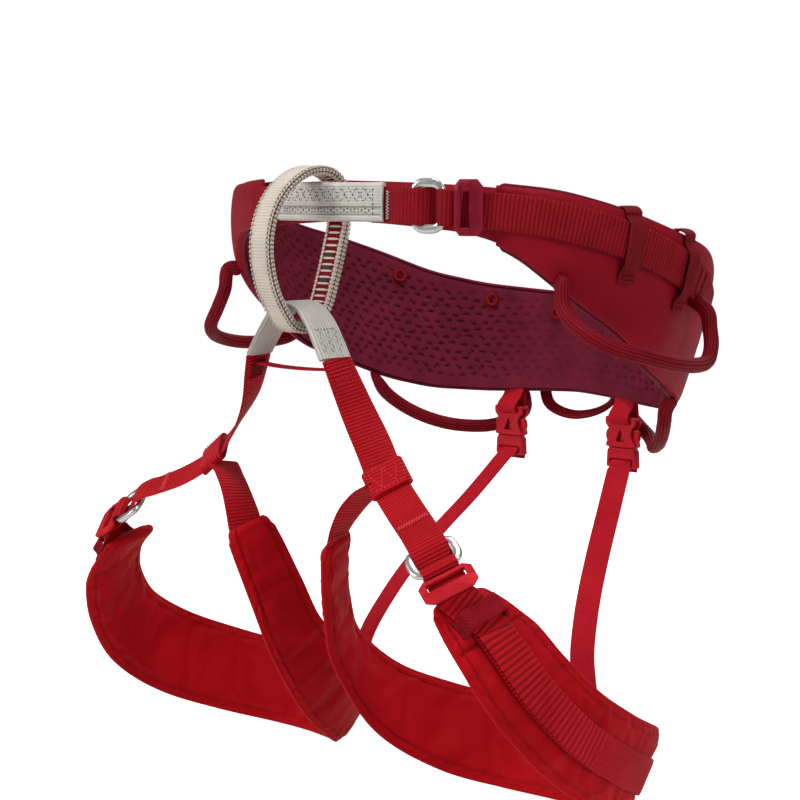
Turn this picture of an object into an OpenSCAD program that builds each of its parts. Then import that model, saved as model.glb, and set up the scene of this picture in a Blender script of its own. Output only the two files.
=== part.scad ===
// Climbing harness: padded waist belt, two leg loops, belay loop, tie-in points,
// adjustable buckles, gear loops and rear elastic straps.
// Millimetres. +X is the wearer's left, -Y the front, +Z up.
// The origin is the centre of the waist opening.

/* [Belt] */
// Half width of the belt, side to side, at its outer face
belt_a = 150; // [140:1:160]
// Half depth of the belt, front to back, at its outer face
belt_b = 116; // [108:1:124]
// Thickness of the outer padded shell
shell_t = 5; // [4:0.5:6]
// Thickness of the inner lining layer
lining_t = 4; // [3:0.5:5]
// Angle from the front where the padding begins on the wearer's left
pad_left = 42; // [40:1:46]
// Angle from the front where the padding begins on the wearer's right
pad_right = 21; // [18:1:24]

/* [Webbing] */
// Width of the waist and leg webbing
web_w = 20; // [18:0.5:22]
// Thickness of one layer of webbing
web_t = 1.6; // [1.2:0.1:2]
// Width of the elastic straps at the rear
elastic_w = 15; // [12:0.5:16]

/* [Belay loop] */
// Width of the belay loop's strap
belay_w = 15; // [12:0.5:16]
// Thickness of the belay loop's strap
belay_t = 4.4; // [4:0.1:5]

/* [Buckles] */
// Width of the steel frame, across the webbing
frame_w = 28; // [27:0.5:30]
// Length of the steel frame, along the webbing
frame_l = 20; // [18:0.5:22]
// Diameter of the steel rod
rod_d = 3.4; // [3:0.1:3.6]
// Thickness of the anodised plate
plate_t = 2.6; // [2:0.1:3]

/* [Gear loops] */
// Diameter of the gear loop tube
tube_d = 8; // [7:0.5:9]

/* [Leg loops] */
// Thickness of the leg padding
pad_t = 6; // [5:0.5:7]

/* [Hidden] */

red = [0.70, 0.09, 0.15];
crimson = [0.58, 0.07, 0.14];
maroon = [0.40, 0.09, 0.20];
bright = [0.78, 0.10, 0.14];
cream = [0.80, 0.77, 0.72];
steel = [0.80, 0.80, 0.78];
berry = [0.62, 0.12, 0.24];
knit = [0.45, 0.08, 0.10];
gap = 0.3;            // air between layers that only lie on each other
belt_step = 6;        // degrees between rings of the belt
keeper_t = 1.4;       // thickness of an elastic keeper
keeper_wide = 9;      // width of a belt keeper

// Height of the belt's top and bottom edge, by angle from the front
belt_top = [[0, 56], [20, 55], [40, 53], [56, 49.5], [70, 42], [82, 34], [94, 27],
            [106, 21], [120, 11], [135, -2], [150, -9], [165, -12], [180, -14]];
belt_bottom = [[0, 32], [20, 29], [35, 26], [45, 19], [53, 5], [60, -7], [68, -18], [76, -28],
               [86, -45], [95, -51], [105, -58], [120, -68], [135, -74], [152, -75], [180, -72]];
// How far the padding bulges out at mid height
belt_bulge = [[0, 0], [42, 0], [54, 4], [66, 5], [80, 3], [100, 0], [180, 0]];
// How far the bottom edge leans in towards the body
belt_lean = [[0, 0], [50, 0], [75, 8], [100, 19], [125, 19], [150, 15], [180, 13]];
// Height of the top and bottom edge of the webbing that lies on the belt
web_top = [[0, 52.5], [18, 51.5], [36, 50], [47, 47.5], [56, 44], [65, 38.5], [70, 35],
           [78, 28.5], [90, 18.5], [100, 9.5], [112, -1], [120, -8]];
web_bottom = [[0, 33.5], [18, 32.5], [36, 30.5], [47, 28], [56, 24.6], [65, 19.5], [70, 16],
              [78, 10], [90, 1], [100, -8], [112, -18], [120, -25]];

// ---- general geometry ----

function unit(v) = v / norm(v);
// A table looked up with its corners rounded off
function smooth(t, table) =
  let (s = [for (k = [-4:2:4]) lookup(t + k, table)]) (s * [1, 1, 1, 1, 1]) / 5;
// Smooth curve through every point of a list, n steps between points
function spline(p, n = 4) = [
  for (i = [0:len(p) - 2]) for (k = [0:n - 1])
    let (t = k / n, a = p[max(i - 1, 0)], b = p[i], c = p[i + 1], d = p[min(i + 2, len(p) - 1)])
      0.5 * (2 * b + (c - a) * t + (2 * a - 5 * b + 4 * c - d) * t * t
             + (3 * b - 3 * c + d - a) * t * t * t),
  p[len(p) - 1]];
function tangent(p, i, loop = false) =
  let (n = len(p)) loop ? unit(p[(i + 1) % n] - p[(i + n - 1) % n])
                        : unit(p[min(i + 1, n - 1)] - p[max(i - 1, 0)]);

// Skin over a list of rings that have the same number of points
module skin(rings, loop = false) {
  m = len(rings);
  n = len(rings[0]);
  last = loop ? m - 1 : m - 2;
  sides = [for (i = [0:last]) for (j = [0:n - 1])
    let (a = i * n + j, b = i * n + (j + 1) % n,
         c = ((i + 1) % m) * n + (j + 1) % n, d = ((i + 1) % m) * n + j)
      each [[a, b, c], [a, c, d]]];
  caps = loop ? [] : concat([for (j = [1:n - 2]) [0, j + 1, j]],
                            [for (j = [1:n - 2]) let (o = (m - 1) * n) [o, o + j, o + j + 1]]);
  polyhedron(points = [for (r = rings) each r], faces = concat(sides, caps));
}

// Cross section of a flat strap: w wide, t thick, c cut from the corners
function flat(w, t, c) = [
  [-w / 2, -t / 2 + c], [-w / 2 + c, -t / 2], [w / 2 - c, -t / 2], [w / 2, -t / 2 + c],
  [w / 2, t / 2 - c], [w / 2 - c, t / 2], [-w / 2 + c, t / 2], [-w / 2, t / 2 - c]];

// Flat strap along points p; a holds the direction across the strap at each point,
// and w its width at each point
module strap(p, a, w, t, c = 0.4, loop = false) {
  skin([for (i = [0:len(p) - 1])
    let (d = tangent(p, i, loop), s = unit(a[i] - (a[i] * d) * d), n = cross(d, s))
      [for (q = flat(w[i], t, c)) p[i] - s * q[0] + n * q[1]]], loop);
}

// Round tube along points p, with a half ball at each end
module tube(p, r, up, sides = 10) {
  n = len(p);
  function ring(c, d, rr) = let (s = unit(up - (up * d) * d), q = cross(d, s))
    [for (j = [0:sides - 1]) c + rr * (q * cos(360 * j / sides) + s * sin(360 * j / sides))];
  head = [for (k = [75, 45, 20]) let (d = tangent(p, 0)) ring(p[0] - d * r * sin(k), d, r * cos(k))];
  tail = [for (k = [20, 45, 75]) let (d = tangent(p, n - 1))
    ring(p[n - 1] + d * r * sin(k), d, r * cos(k))];
  skin(concat(head, [for (i = [0:n - 1]) ring(p[i], tangent(p, i), r)], tail));
}

function same(v, n) = [for (i = [1:n]) v];

// Puts x along direction dx, y along dy and z along their normal, at point p
module place(p, dx, dy) {
  x = unit(dx);
  y = unit(dy - (dy * x) * x);
  z = cross(x, y);
  multmatrix([[x[0], y[0], z[0], p[0]], [x[1], y[1], z[1], p[1]],
              [x[2], y[2], z[2], p[2]], [0, 0, 0, 1]]) children();
}

module mirrored(side) {
  if (side == "left") children();
  else mirror([1, 0, 0]) children();
}

// ---- the belt ----

function fold180(t) = let (u = t < 0 ? t + 360 : t) u > 180 ? 360 - u : u;
function table_at(t, table) = smooth(fold180(t), table);
// Point of the belt at angle t, at distance off outside its outer face
function around(t, off, z) = [(belt_a + off) * sin(t), -(belt_b + off) * cos(t), z];
// Point of the belt at angle t, at height fraction v, off outside its outer face
function on_belt(t, v, off) =
  let (z0 = table_at(t, belt_bottom), z1 = table_at(t, belt_top))
    around(t, off - table_at(t, belt_lean) * pow(1 - v, 1.5) + table_at(t, belt_bulge) * 4 * v * (1 - v),
           z0 + (z1 - z0) * v);
// Height fraction of height z at angle t
function height_at(t, z) =
  let (z0 = table_at(t, belt_bottom), z1 = table_at(t, belt_top)) (z - z0) / (z1 - z0);

// Angles from t0 to t1; every layer of the belt shares the steps in between
function grid(t0, t1) = concat([t0],
  [for (k = [ceil(t0 / belt_step + 0.2):floor(t1 / belt_step - 0.2)]) k * belt_step], [t1]);

// Layer of the belt from angle t0 to t1, between two offsets
module belt_layer(t0, t1, out, in, crop = 0) {
  m = (out + in) / 2;
  e = (out - in) * 0.15;
  up = [0.14, 0.27, 0.4, 0.52, 0.64, 0.76, 0.88];
  section = concat([[crop, m], [crop + 0.03, out - e]], [for (v = up) [v, out]],
                   [[0.97 - crop, out - e], [1 - crop, m], [0.97 - crop, in + e]],
                   [for (i = [len(up) - 1:-1:0]) [up[i], in]], [[crop + 0.03, in + e]]);
  skin([for (t = grid(t0, t1)) [for (q = section) on_belt(t, q[0], q[1])]]);
}

// Webbing that follows the belt from angle t0 to t1, layer number l above the shell
module belt_web(t0, t1, l, shrink = 0) {
  function web_z(t, v) = let (a = table_at(t, web_bottom) + shrink, b = table_at(t, web_top) - shrink)
    a + (b - a) * v;
  lo = gap + 0.1 + l * (web_t + gap);
  skin([for (t = grid(t0, t1))
    [for (q = [[0, lo + web_t / 2], [0.03, lo + web_t], [0.35, lo + web_t], [0.65, lo + web_t],
               [0.97, lo + web_t], [1, lo + web_t / 2], [0.97, lo], [0.65, lo], [0.35, lo], [0.03, lo]])
      on_belt(t, height_at(t, web_z(t, q[0])), q[1])]]);
}

module belt_shell() {
  color(crimson) belt_layer(pad_left, 360 - pad_right, 0, -shell_t);
}

module belt_lining() {
  color(maroon) belt_layer(pad_left, 360 - pad_right, -shell_t - gap,
                           -shell_t - gap - lining_t, 0.015);
}

// Thin strip behind the tie-in that bridges the gap between the padded ends
strip_in = [[-26, 11], [-14, 19], [-4, 23], [12, 25], [28, 21], [40, 12.5], [47, 11]];
module front_strip() {
  steps = 14;
  color(crimson) skin([for (i = [0:steps])
    let (t = -24 + 71 * i / steps, off = -smooth(t, strip_in))
      [for (q = [[0.06, 1], [0.12, 1.6], [0.88, 1.6], [0.94, 1], [0.94, -1], [0.88, -1.6],
                 [0.12, -1.6], [0.06, -1]]) let (z0 = table_at(t, belt_bottom), z1 = table_at(t, belt_top))
        around(t, off + q[1] * 0.8, max(z0, 20) + (z1 - max(z0, 20)) * q[0])]]);
}

// ---- waist webbing, tie-in and buckle ----

module waist_web_right() {
  color(red) belt_web(-24, -9, 0);
}

// The front webbing climbs over the frame's first bar and dives under its second
frame_bend = 6;   // radius of the rod's bends
frame_at = 28;    // angle of the steel frame's middle
plate_at = 36.5;  // angle of the anodised plate's middle
web_mid = 41.5;   // height of the webbing's centre line at the buckle
over_bar = gap + 6.4 + web_t / 2;
web_climb = [[14, 1.2], [18.5, 1.2], [21.2, 5.2], [22.3, over_bar], [26.4, over_bar],
             [27.8, 4], [29.3, 1.2], [36, 1.2]];
module waist_web_front() {
  steps = 32;
  path = [for (i = [0:steps]) let (t = 15 + 19 * i / steps)
    around(t, lookup(t, web_climb), (table_at(t, web_top) + table_at(t, web_bottom)) / 2)];
  color(red) strap(path, same([0, 0, 1], steps + 1), same(web_w - 1, steps + 1), web_t);
}

module waist_web_base() {
  color(red) belt_web(36, 118, 0);
}

module waist_tail() {
  color(red) belt_web(35, 105, 1, 0.3);
}

module upper_tie_in() {
  steps = 8;
  color(cream) skin([for (i = [0:steps]) let (t = -11 + 29 * i / steps)
    [for (q = [[33, 1], [34.5, 3.5], [52, 3.5], [53.5, 1], [52, -1.5], [34.5, -1.5]])
      around(t, q[1], q[0])]]);
}

// Rod bent to a closed rounded rectangle, l along x, w along y
module rod_frame(l, w, r, d) {
  x = l / 2 - d / 2;
  y = w / 2 - d / 2;
  for (a = [0, 180]) rotate([0, 0, a]) {
    translate([x, 0, 0]) rotate([90, 0, 0]) cylinder(h = 2 * (y - r), d = d, center = true, $fn = 32);
    translate([0, y, 0]) rotate([0, 90, 0]) cylinder(h = 2 * (x - r), d = d, center = true, $fn = 32);
  }
  for (a = [0, 1], b = [0, 1]) mirror([a, 0, 0]) mirror([0, b, 0]) translate([x - r, y - r, 0])
    rotate_extrude(angle = 90, $fn = 64) translate([r, 0]) circle(d = d, $fn = 32);
}

// Anodised plate with six sides and a slot for the webbing
module buckle_plate() {
  linear_extrude(height = plate_t) difference() {
    polygon([[-7.5, -10.5], [-4.5, -14.2], [4.5, -14.2], [7.5, -10.5],
             [7.5, 10.5], [4.5, 14.2], [-4.5, 14.2], [-7.5, 10.5]]);
    square([7.6, web_w + 1.4], center = true);
  }
}

module on_waist(t, off, z) {
  place(around(t, off, z), [belt_a * cos(t), belt_b * sin(t), 0], [0, 0, 1]) children();
}

module waist_frame() {
  color(steel) on_waist(frame_at, gap + 4, web_mid) rod_frame(frame_l, frame_w, frame_bend, rod_d);
}

module waist_plate() {
  color(berry) on_waist(plate_at, 5, web_mid - 0.8) buckle_plate();
}

// Elastic keeper that wraps over the belt's top edge and holds the tail down
module keeper(t, lean) {
  zt = table_at(t, belt_top);
  wt = table_at(t, web_top);
  wb = table_at(t, web_bottom);
  in = -shell_t - gap - lining_t;
  route = [[0, in - 1.6, zt - 9], [0, in - 1.5, zt - 1], [0.05, -7, zt + 2.2], [0.1, -2, zt + 2.2],
           [0.2, 2.1, zt - 1], [0.3, 5.5, wt + 0.5], [0.6, 5.6, (wt + wb) / 2],
           [0.85, 5.3, wb - 0.5], [0.93, 1.8, wb - 5], [1, 1.7, wb - 10]];
  p = spline([for (q = route) let (tt = t + lean * q[0], v = height_at(tt, q[2]))
    v > 1 ? around(tt, q[1], q[2]) : on_belt(tt, v, q[1])], 3);
  color(knit) strap(p, same([belt_a * cos(t), belt_b * sin(t), 0], len(p)),
                                  same(keeper_wide, len(p)), keeper_t, 0.3);
}
module keeper_front() { keeper(74.5, -3); }
module keeper_side() { keeper(94, -3); }

// ---- belay loop and lower tie-in ----

module belay_loop() {
  ring = [[-146, -9], [-152, 5], [-154, 22], [-150, 38], [-140, 51], [-125, 59], [-110, 58.5],
          [-100, 49], [-99.5, 34], [-103.5, 18], [-108.5, 2], [-114, -12], [-123, -21.6], [-136, -21]];
  n = len(ring);
  p = [for (i = [0:n - 1]) for (k = [0:2])
    let (t = k / 3, a = ring[(i + n - 1) % n], b = ring[i], c = ring[(i + 1) % n], d = ring[(i + 2) % n],
         q = 0.5 * (2 * b + (c - a) * t + (2 * a - 5 * b + 4 * c - d) * t * t
                    + (3 * b - 3 * c + d - a) * t * t * t)) [0, q[0], q[1]]];
  color(cream) strap(p, same([1, 0, 0], len(p)), same(belay_w, len(p)), belay_t, 0.9, true);
}

arch = [[0, -129, -9.6], [9, -129, -11.8], [17, -129.3, -19], [24, -130, -28.5], [29.5, -130.5, -37]];
arch_across = [[0, 1, 0], [0.02, 1, 0], [0.04, 0.99, 0.05], [0.06, 0.98, 0.1], [0.06, 0.98, 0.12]];
module lower_tie_in() {
  half = spline(arch, 3);
  half_a = spline(arch_across, 3);
  n = len(half);
  p = concat([for (i = [n - 1:-1:1]) [-half[i][0], half[i][1], half[i][2]]], half);
  a = concat([for (i = [n - 1:-1:1]) [-half_a[i][0], half_a[i][1], half_a[i][2]]], half_a);
  color(cream) strap(p, a, same(web_w, len(p)), 3.6, 0.9);
}

module leg_bridge() {
  p = [[-31, -129, -42.5], [-15, -130.5, -43.2], [0, -131, -43.4], [15, -130.5, -43.2], [31, -129, -42.5]];
  color(bright) strap(p, same([0, 1, 0], 5), same(8, 5), 1.4, 0.3);
}

// ---- leg loops ----

// The leg buckle's place, and a point given along, across and above it
leg_buckle = [118, -149, -126.5];
leg_along = unit([0.80, -0.28, -0.53]);
leg_side = unit([0.5, 0.72, 0.45] - ([0.5, 0.72, 0.45] * leg_along) * leg_along);
leg_up = cross(leg_along, leg_side);
function at_buckle(x, z) = leg_buckle + x * leg_along + z * leg_up;

// The riser climbs over the steel frame's first bar and dives under its second
bar_lift = rod_d / 2 + gap + web_t / 2;
riser = [[30, -130.2, -36.5], [34, -128.8, -46], [42, -126.5, -63], [54, -127, -80],
         [67.5, -130.5, -96], [84, -136, -107], at_buckle(-22, 0.5), at_buckle(-14, bar_lift),
         at_buckle(-5, bar_lift), at_buckle(4, -bar_lift), at_buckle(14, -bar_lift - 0.2)];
riser_across = [[0.06, 0.98, 0.12], [0.12, 0.96, 0.18], [0.28, 0.9, 0.3], [0.48, 0.78, 0.4],
                [0.58, 0.68, 0.45], [0.57, 0.66, 0.47], leg_side, leg_side, leg_side, leg_side, leg_side];
module riser_strap(side) {
  p = spline(riser, 3);
  color(bright) mirrored(side) strap(p, spline(riser_across, 3), same(web_w - 0.6, len(p)), web_t);
}
module riser_left() { riser_strap("left"); }
module riser_right() { riser_strap("right"); }

// Sewn sleeve round the crossing of the riser and the inner strap
junction_mid = [67.5, -130.5, -95];
junction_dir = [31, -9, -27.5];
junction_across = [0.6, 0.66, 0.45];
module junction(side) {
  color(red) mirrored(side) place(junction_mid, junction_dir, junction_across)
    linear_extrude(height = 5.5, center = true) union() {
      square([13, web_w + 3], center = true);
      square([16, web_w], center = true);
    }
}
module junction_left() { junction("left"); }
module junction_right() { junction("right"); }

inner_strap = [[62, -130, -98.5], [54, -132, -104], [46, -134, -112], [39, -135.5, -123], [35.5, -136, -132]];
module inner_strap_piece(side) {
  p = spline(inner_strap, 3);
  a = spline([[0.5, 0.7, 0.3], [0.35, 0.85, 0.2], [0.1, 0.97, 0.1], [-0.25, 0.95, -0.1], [-0.35, 0.93, -0.15]], 3);
  color(bright) mirrored(side) strap(p, a, same(web_w, len(p)), web_t);
}
module inner_strap_left() { inner_strap_piece("left"); }
module inner_strap_right() { inner_strap_piece("right"); }

// Padded band that goes round the thigh
thigh = [[126.5, -142, -145.5], [139.5, -140.8, -156], [152, -137, -169], [163, -127, -189], [172, -107, -212],
         [173, -76, -232], [161, -44, -246], [134, -22, -254], [98, -17, -256], [62, -28, -253],
         [38, -54, -243], [24, -86, -224], [20, -113, -194], [23.5, -124, -168], [30, -131.5, -144],
         [35.5, -135.5, -129]];
thigh_across = [[0.05, 0.95, 0.2], [0.2, 0.95, 0.2], [0.25, 0.93, 0.2], [0.22, 0.9, 0.33], [0.12, 0.8, 0.55],
                [0, 0.7, 0.7], [-0.05, 0.65, 0.75], [-0.05, 0.65, 0.75], [-0.06, 0.65, 0.75],
                [-0.08, 0.65, 0.75], [-0.1, 0.68, 0.72], [-0.18, 0.8, 0.5], [-0.32, 0.92, 0.15],
                [-0.4, 0.9, -0.05], [-0.4, 0.9, -0.12], [-0.38, 0.92, -0.15]];
thigh_w = [34, 42, 47, 48, 49, 50, 50, 50, 50, 50, 48, 42, 33, 30, 28, 26];
module leg_pad(side) {
  p = spline(thigh, 3);
  w = spline(thigh_w, 3);
  color(red) mirrored(side) strap(p, spline(thigh_across, 3), w, pad_t, 1.8);
}
module leg_pad_left() { leg_pad("left"); }
module leg_pad_right() { leg_pad("right"); }

// Point beside and outside the leg pad's middle line, at step i along it
pad_p = spline(thigh, 3);
pad_a = spline(thigh_across, 3);
function on_pad(i, side, lift) =
  let (d = tangent(pad_p, i), s = unit(pad_a[i] - (pad_a[i] * d) * d)) pad_p[i] + s * side + cross(d, s) * lift;
// Strap that lies on the outside of the leg pad, with its inner face lift above the pad
module pad_strap(first, last, w, lift) {
  lo = pad_t / 2 + lift;
  skin([for (i = [first:last])
    [for (q = flat(w, web_t, 0.4)) on_pad(i, -q[0], lo + web_t / 2 + q[1])]]);
}

module leg_web(side) {
  color(bright) mirrored(side) pad_strap(4, 24, web_w, 3 * gap);
}
module leg_web_left() { leg_web("left"); }
module leg_web_right() { leg_web("right"); }

// The tail comes out below the buckle and lies on the leg webbing
module leg_tail(side) {
  lift = pad_t / 2 + 5 * gap + 1.5 * web_t;
  p = concat([at_buckle(16, -bar_lift), at_buckle(22, -4.2)], [for (i = [4:13]) on_pad(i, 0, lift)]);
  a = concat([leg_side, leg_side], [for (i = [4:13]) pad_a[i]]);
  color(bright) mirrored(side) strap(p, a, same(web_w - 1, len(p)), web_t);
}
module leg_tail_left() { leg_tail("left"); }
module leg_tail_right() { leg_tail("right"); }

// Elastic band across the tail of the leg webbing, sewn down at both ends
keeper_step = 3;
leg_keeper_w = 11;
module leg_keeper(side) {
  top = pad_t / 2 + 7 * gap + 2 * web_t + 2.6;
  low = pad_t / 2 + gap + 0.8;
  a = pad_p[keeper_step + 1] - pad_p[keeper_step - 1];
  p = [for (q = [[-15, low], [-12.4, low + 0.2], [-11.3, (low + top) / 2], [-10.2, top], [0, top + 0.2],
                 [10.2, top], [11.3, (low + top) / 2], [12.4, low + 0.2], [15, low]])
    on_pad(keeper_step, q[0], q[1])];
  color(knit) mirrored(side) strap(p, same(a, len(p)), same(leg_keeper_w, len(p)), keeper_t - 0.2, 0.3);
}
module leg_keeper_left() { leg_keeper("left"); }
module leg_keeper_right() { leg_keeper("right"); }

// Leg buckle: steel frame round the riser's end, plate at the top of the pad
module on_leg(side, along, up) {
  mirrored(side) place(leg_buckle, leg_along, leg_side) translate([along, 0, up]) children();
}
module leg_frame(side) {
  color(steel) on_leg(side, 0, 0) rod_frame(frame_l, frame_w, frame_bend, rod_d);
}
module leg_frame_left() { leg_frame("left"); }
module leg_frame_right() { leg_frame("right"); }

module leg_plate(side) {
  color(berry) on_leg(side, 18.6, -1.2) buckle_plate();
}
module leg_plate_left() { leg_plate("left"); }
module leg_plate_right() { leg_plate("right"); }

// ---- rear straps and clips ----

clip_top = [44, 88, -83];   // middle of the clip's upper edge
clip_w = 22;
clip_t = 7;
socket_h = 18;
module at_clip(side) { mirrored(side) translate(clip_top) children(); }

module hanger(side) {
  p = spline([[43, 90.5, -68], [43.5, 89.5, -75], [44, 88.3, -81], [44, 88, -85]], 3);
  color(bright) mirrored(side) strap(p, same([1, 0, 0], len(p)), same(elastic_w, len(p)), 1.8);
}
module hanger_left() { hanger("left"); }
module hanger_right() { hanger("right"); }

// Socket of the clip: two plates joined by a bridge and a middle spine, open below
module clip_socket(side) {
  color(red) at_clip(side) difference() {
    translate([0, 0, -socket_h / 2]) cube([clip_w, clip_t, socket_h], center = true);
    translate([0, 0, -socket_h / 2 - 5]) cube([clip_w + 1, 3.6, socket_h], center = true);
    for (s = [-1, 1]) translate([s * 5, 0, -12.5]) rotate([90, 0, 0])
      linear_extrude(height = clip_t + 1, center = true) polygon([[-1.6, -3], [1.6, -3], [0, 4.5]]);
  }
}
module clip_socket_left() { clip_socket("left"); }
module clip_socket_right() { clip_socket("right"); }

// Plug of the clip: cross bar with a middle tongue
module clip_plug(side) {
  color(red) at_clip(side) {
    translate([0, 0, -26]) difference() {
      cube([clip_w, 5, 9], center = true);
      translate([0, 0, -1]) cube([elastic_w + 1.4, 6, 3.4], center = true);
    }
    translate([0, 0, -16]) cube([2.6, 2.8, 14], center = true);
  }
}
module clip_plug_left() { clip_plug("left"); }
module clip_plug_right() { clip_plug("right"); }

// Spring arm of the plug, with a pad that shows at the side of the socket
arm_root = [8, -19.8];        // x and z of the arm's root, from the clip's upper edge
module clip_arm(side, s) {
  color(red) at_clip(side) translate([s * arm_root[0], 0, arm_root[1]]) mirror([s < 0 ? 1 : 0, 0, 0])
    rotate([90, 0, 0]) {
      cylinder(h = 2.8, r = 1.3, center = true, $fn = 32);
      linear_extrude(height = 2.8, center = true)
        polygon([[-1.2, 0], [1.3, 0], [3.4, 6], [3.6, 9], [1.6, 13], [-0.6, 13], [0.4, 8]]);
    }
}
module clip_arm_left_out() { clip_arm("left", 1); }
module clip_arm_left_in() { clip_arm("left", -1); }
module clip_arm_right_out() { clip_arm("right", 1); }
module clip_arm_right_in() { clip_arm("right", -1); }

module elastic(side) {
  p = spline([[44, 89.5, -109.7], [44.2, 85.5, -110.2], [45.5, 81.5, -114.5], [54, 62, -137], [63, 42, -158],
              [72, 23, -181], [80, 9, -204], [86, 3.5, -220], [90, 2.4, -234], [92, -2.2, -246]], 3);
  a = [for (i = [0:len(p) - 1]) [1, i < 6 ? 0 : 0.2, 0]];
  color(bright) mirrored(side) strap(p, a, same(elastic_w, len(p)), 1.8);
}
module elastic_left() { elastic("left"); }
module elastic_right() { elastic("right"); }

// ---- gear loops, haul loop and eyelets ----

front_loop = [[128.9, -68, 3], [132, -71.5, -8], [141, -72, -17], [156, -67.5, -26], [167, -52, -32],
              [170, -27, -37.5], [165.5, 1, -39], [161, 13, -32], [156, 18.5, -22], [153.3, 19, -13]];
front_droop_right = 16;   // the right front loop hangs this much lower than the left one
// droop turns the loop down about the line through its two ends
module gear_front(side, droop) {
  a = front_loop[0];
  b = front_loop[len(front_loop) - 1];
  color(red) mirrored(side) translate(a) rotate(a = droop, v = b - a) translate(-a)
    tube(spline(front_loop, 3), tube_d / 2, [0.75, -0.1, 0.65]);
}
module gear_front_left() { gear_front("left", 0); }
module gear_front_right() { gear_front("right", front_droop_right); }

rear_loop = [[112, 39.5, -70], [108, 43.5, -77.5], [100, 52, -86], [90, 62, -92.5], [78, 73, -96.5],
             [66, 88, -97.5], [55, 97.5, -94], [45, 99.8, -88], [40, 97, -80]];
module gear_rear(side) {
  color(red) mirrored(side) tube(spline(rear_loop, 3), tube_d / 2, [0.57, 0.8, 0.19]);
}
module gear_rear_left() { gear_rear("left"); }
module gear_rear_right() { gear_rear("right"); }

module haul_loop() {
  p = spline([[-31, 107.5, -64], [-31, 105, -75], [-22, 101, -83], [-4, 99.5, -86.5],
              [14, 101, -83], [23, 105, -75], [23, 109, -64]], 3);
  color(red) strap(p, same([0, 1, 0.1], len(p)), same(7, len(p)), 2.4);
}

// Stitched ring on the lining
module eyelet(t, z) {
  off = -shell_t - gap - lining_t - gap;
  v = height_at(t, z);
  color(red) place(on_belt(t, v, off), [belt_a * cos(t), belt_b * sin(t), 0],
                   on_belt(t, v + 0.05, off) - on_belt(t, v - 0.05, off))
    rotate_extrude($fn = 48) translate([3.2, -0.8]) circle(d = 1.3, $fn = 24);
}
module eyelet_1() { eyelet(235, -4.5); }
module eyelet_2() { eyelet(208, -19); }
module eyelet_3() { eyelet(189, -26); }

belt_shell();
belt_lining();
front_strip();
waist_web_right();
waist_web_front();
waist_web_base();
waist_tail();
keeper_front();
keeper_side();
upper_tie_in();
waist_plate();
waist_frame();
belay_loop();
lower_tie_in();
leg_bridge();
riser_left();
riser_right();
junction_left();
junction_right();
inner_strap_left();
inner_strap_right();
leg_plate_left();
leg_plate_right();
leg_frame_left();
leg_frame_right();
leg_pad_left();
leg_pad_right();
leg_web_left();
leg_web_right();
leg_tail_left();
leg_tail_right();
leg_keeper_left();
leg_keeper_right();
hanger_left();
hanger_right();
clip_socket_left();
clip_socket_right();
clip_plug_left();
clip_plug_right();
clip_arm_left_out();
clip_arm_left_in();
clip_arm_right_out();
clip_arm_right_in();
elastic_left();
elastic_right();
gear_front_left();
gear_front_right();
gear_rear_left();
gear_rear_right();
haul_loop();
eyelet_1();
eyelet_2();
eyelet_3();
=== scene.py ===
"""Climbing harness: the sewn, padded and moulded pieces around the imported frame.

Lengths in this file are millimetres; every mesh is scaled to metres as it is made.
+X is the wearer's left, -Y the front, +Z up.
"""
import math

import bmesh
import bpy
import numpy as np
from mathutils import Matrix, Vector


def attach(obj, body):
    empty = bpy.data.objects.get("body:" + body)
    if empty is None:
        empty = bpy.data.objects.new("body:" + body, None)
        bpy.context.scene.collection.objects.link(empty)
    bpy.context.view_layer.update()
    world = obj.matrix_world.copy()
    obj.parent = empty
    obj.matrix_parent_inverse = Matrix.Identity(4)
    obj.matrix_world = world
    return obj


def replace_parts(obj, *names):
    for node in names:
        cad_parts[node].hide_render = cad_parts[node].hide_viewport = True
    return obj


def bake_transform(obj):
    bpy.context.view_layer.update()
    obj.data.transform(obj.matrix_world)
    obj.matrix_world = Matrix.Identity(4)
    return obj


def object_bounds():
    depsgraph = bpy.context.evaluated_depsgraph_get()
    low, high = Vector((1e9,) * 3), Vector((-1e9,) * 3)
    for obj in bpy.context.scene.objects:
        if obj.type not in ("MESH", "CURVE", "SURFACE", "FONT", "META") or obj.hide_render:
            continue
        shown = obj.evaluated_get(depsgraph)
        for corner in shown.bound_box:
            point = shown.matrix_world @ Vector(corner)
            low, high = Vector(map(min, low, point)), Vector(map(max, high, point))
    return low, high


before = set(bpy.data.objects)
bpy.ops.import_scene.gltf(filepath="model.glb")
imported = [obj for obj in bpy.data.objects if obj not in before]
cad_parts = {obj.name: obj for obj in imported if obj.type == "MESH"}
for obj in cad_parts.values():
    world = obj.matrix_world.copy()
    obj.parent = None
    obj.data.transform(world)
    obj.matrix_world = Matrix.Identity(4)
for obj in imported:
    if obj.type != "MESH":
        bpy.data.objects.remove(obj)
cad_low, cad_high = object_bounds()
MM = 0.001

# ---- Camera, light and floor ----
# The harness hangs as if worn, in a white studio with large soft lamps,
# and is seen from its left front, a little above the belt's lower edge.
view_target = Vector((-26.87, -26.87, -70.0)) * MM
view_from = Vector((781.85, -835.59, 50.21)) * MM
camera = bpy.data.objects.new("camera", bpy.data.cameras.new("camera"))
camera.location = view_from
camera.rotation_euler = (view_target - view_from).to_track_quat("-Z", "Y").to_euler()
camera.data.lens = 90.56
camera.data.sensor_width = 36
bpy.context.scene.collection.objects.link(camera)
bpy.context.scene.camera = camera
bpy.context.scene.view_settings.view_transform = "Standard"

room_light, floor_glow = 0.26, 0.82
world = bpy.data.worlds.new("white room")
world.use_nodes = True
room = world.node_tree.nodes["Background"]
room.inputs["Color"].default_value = (1, 1, 1, 1)
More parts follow.
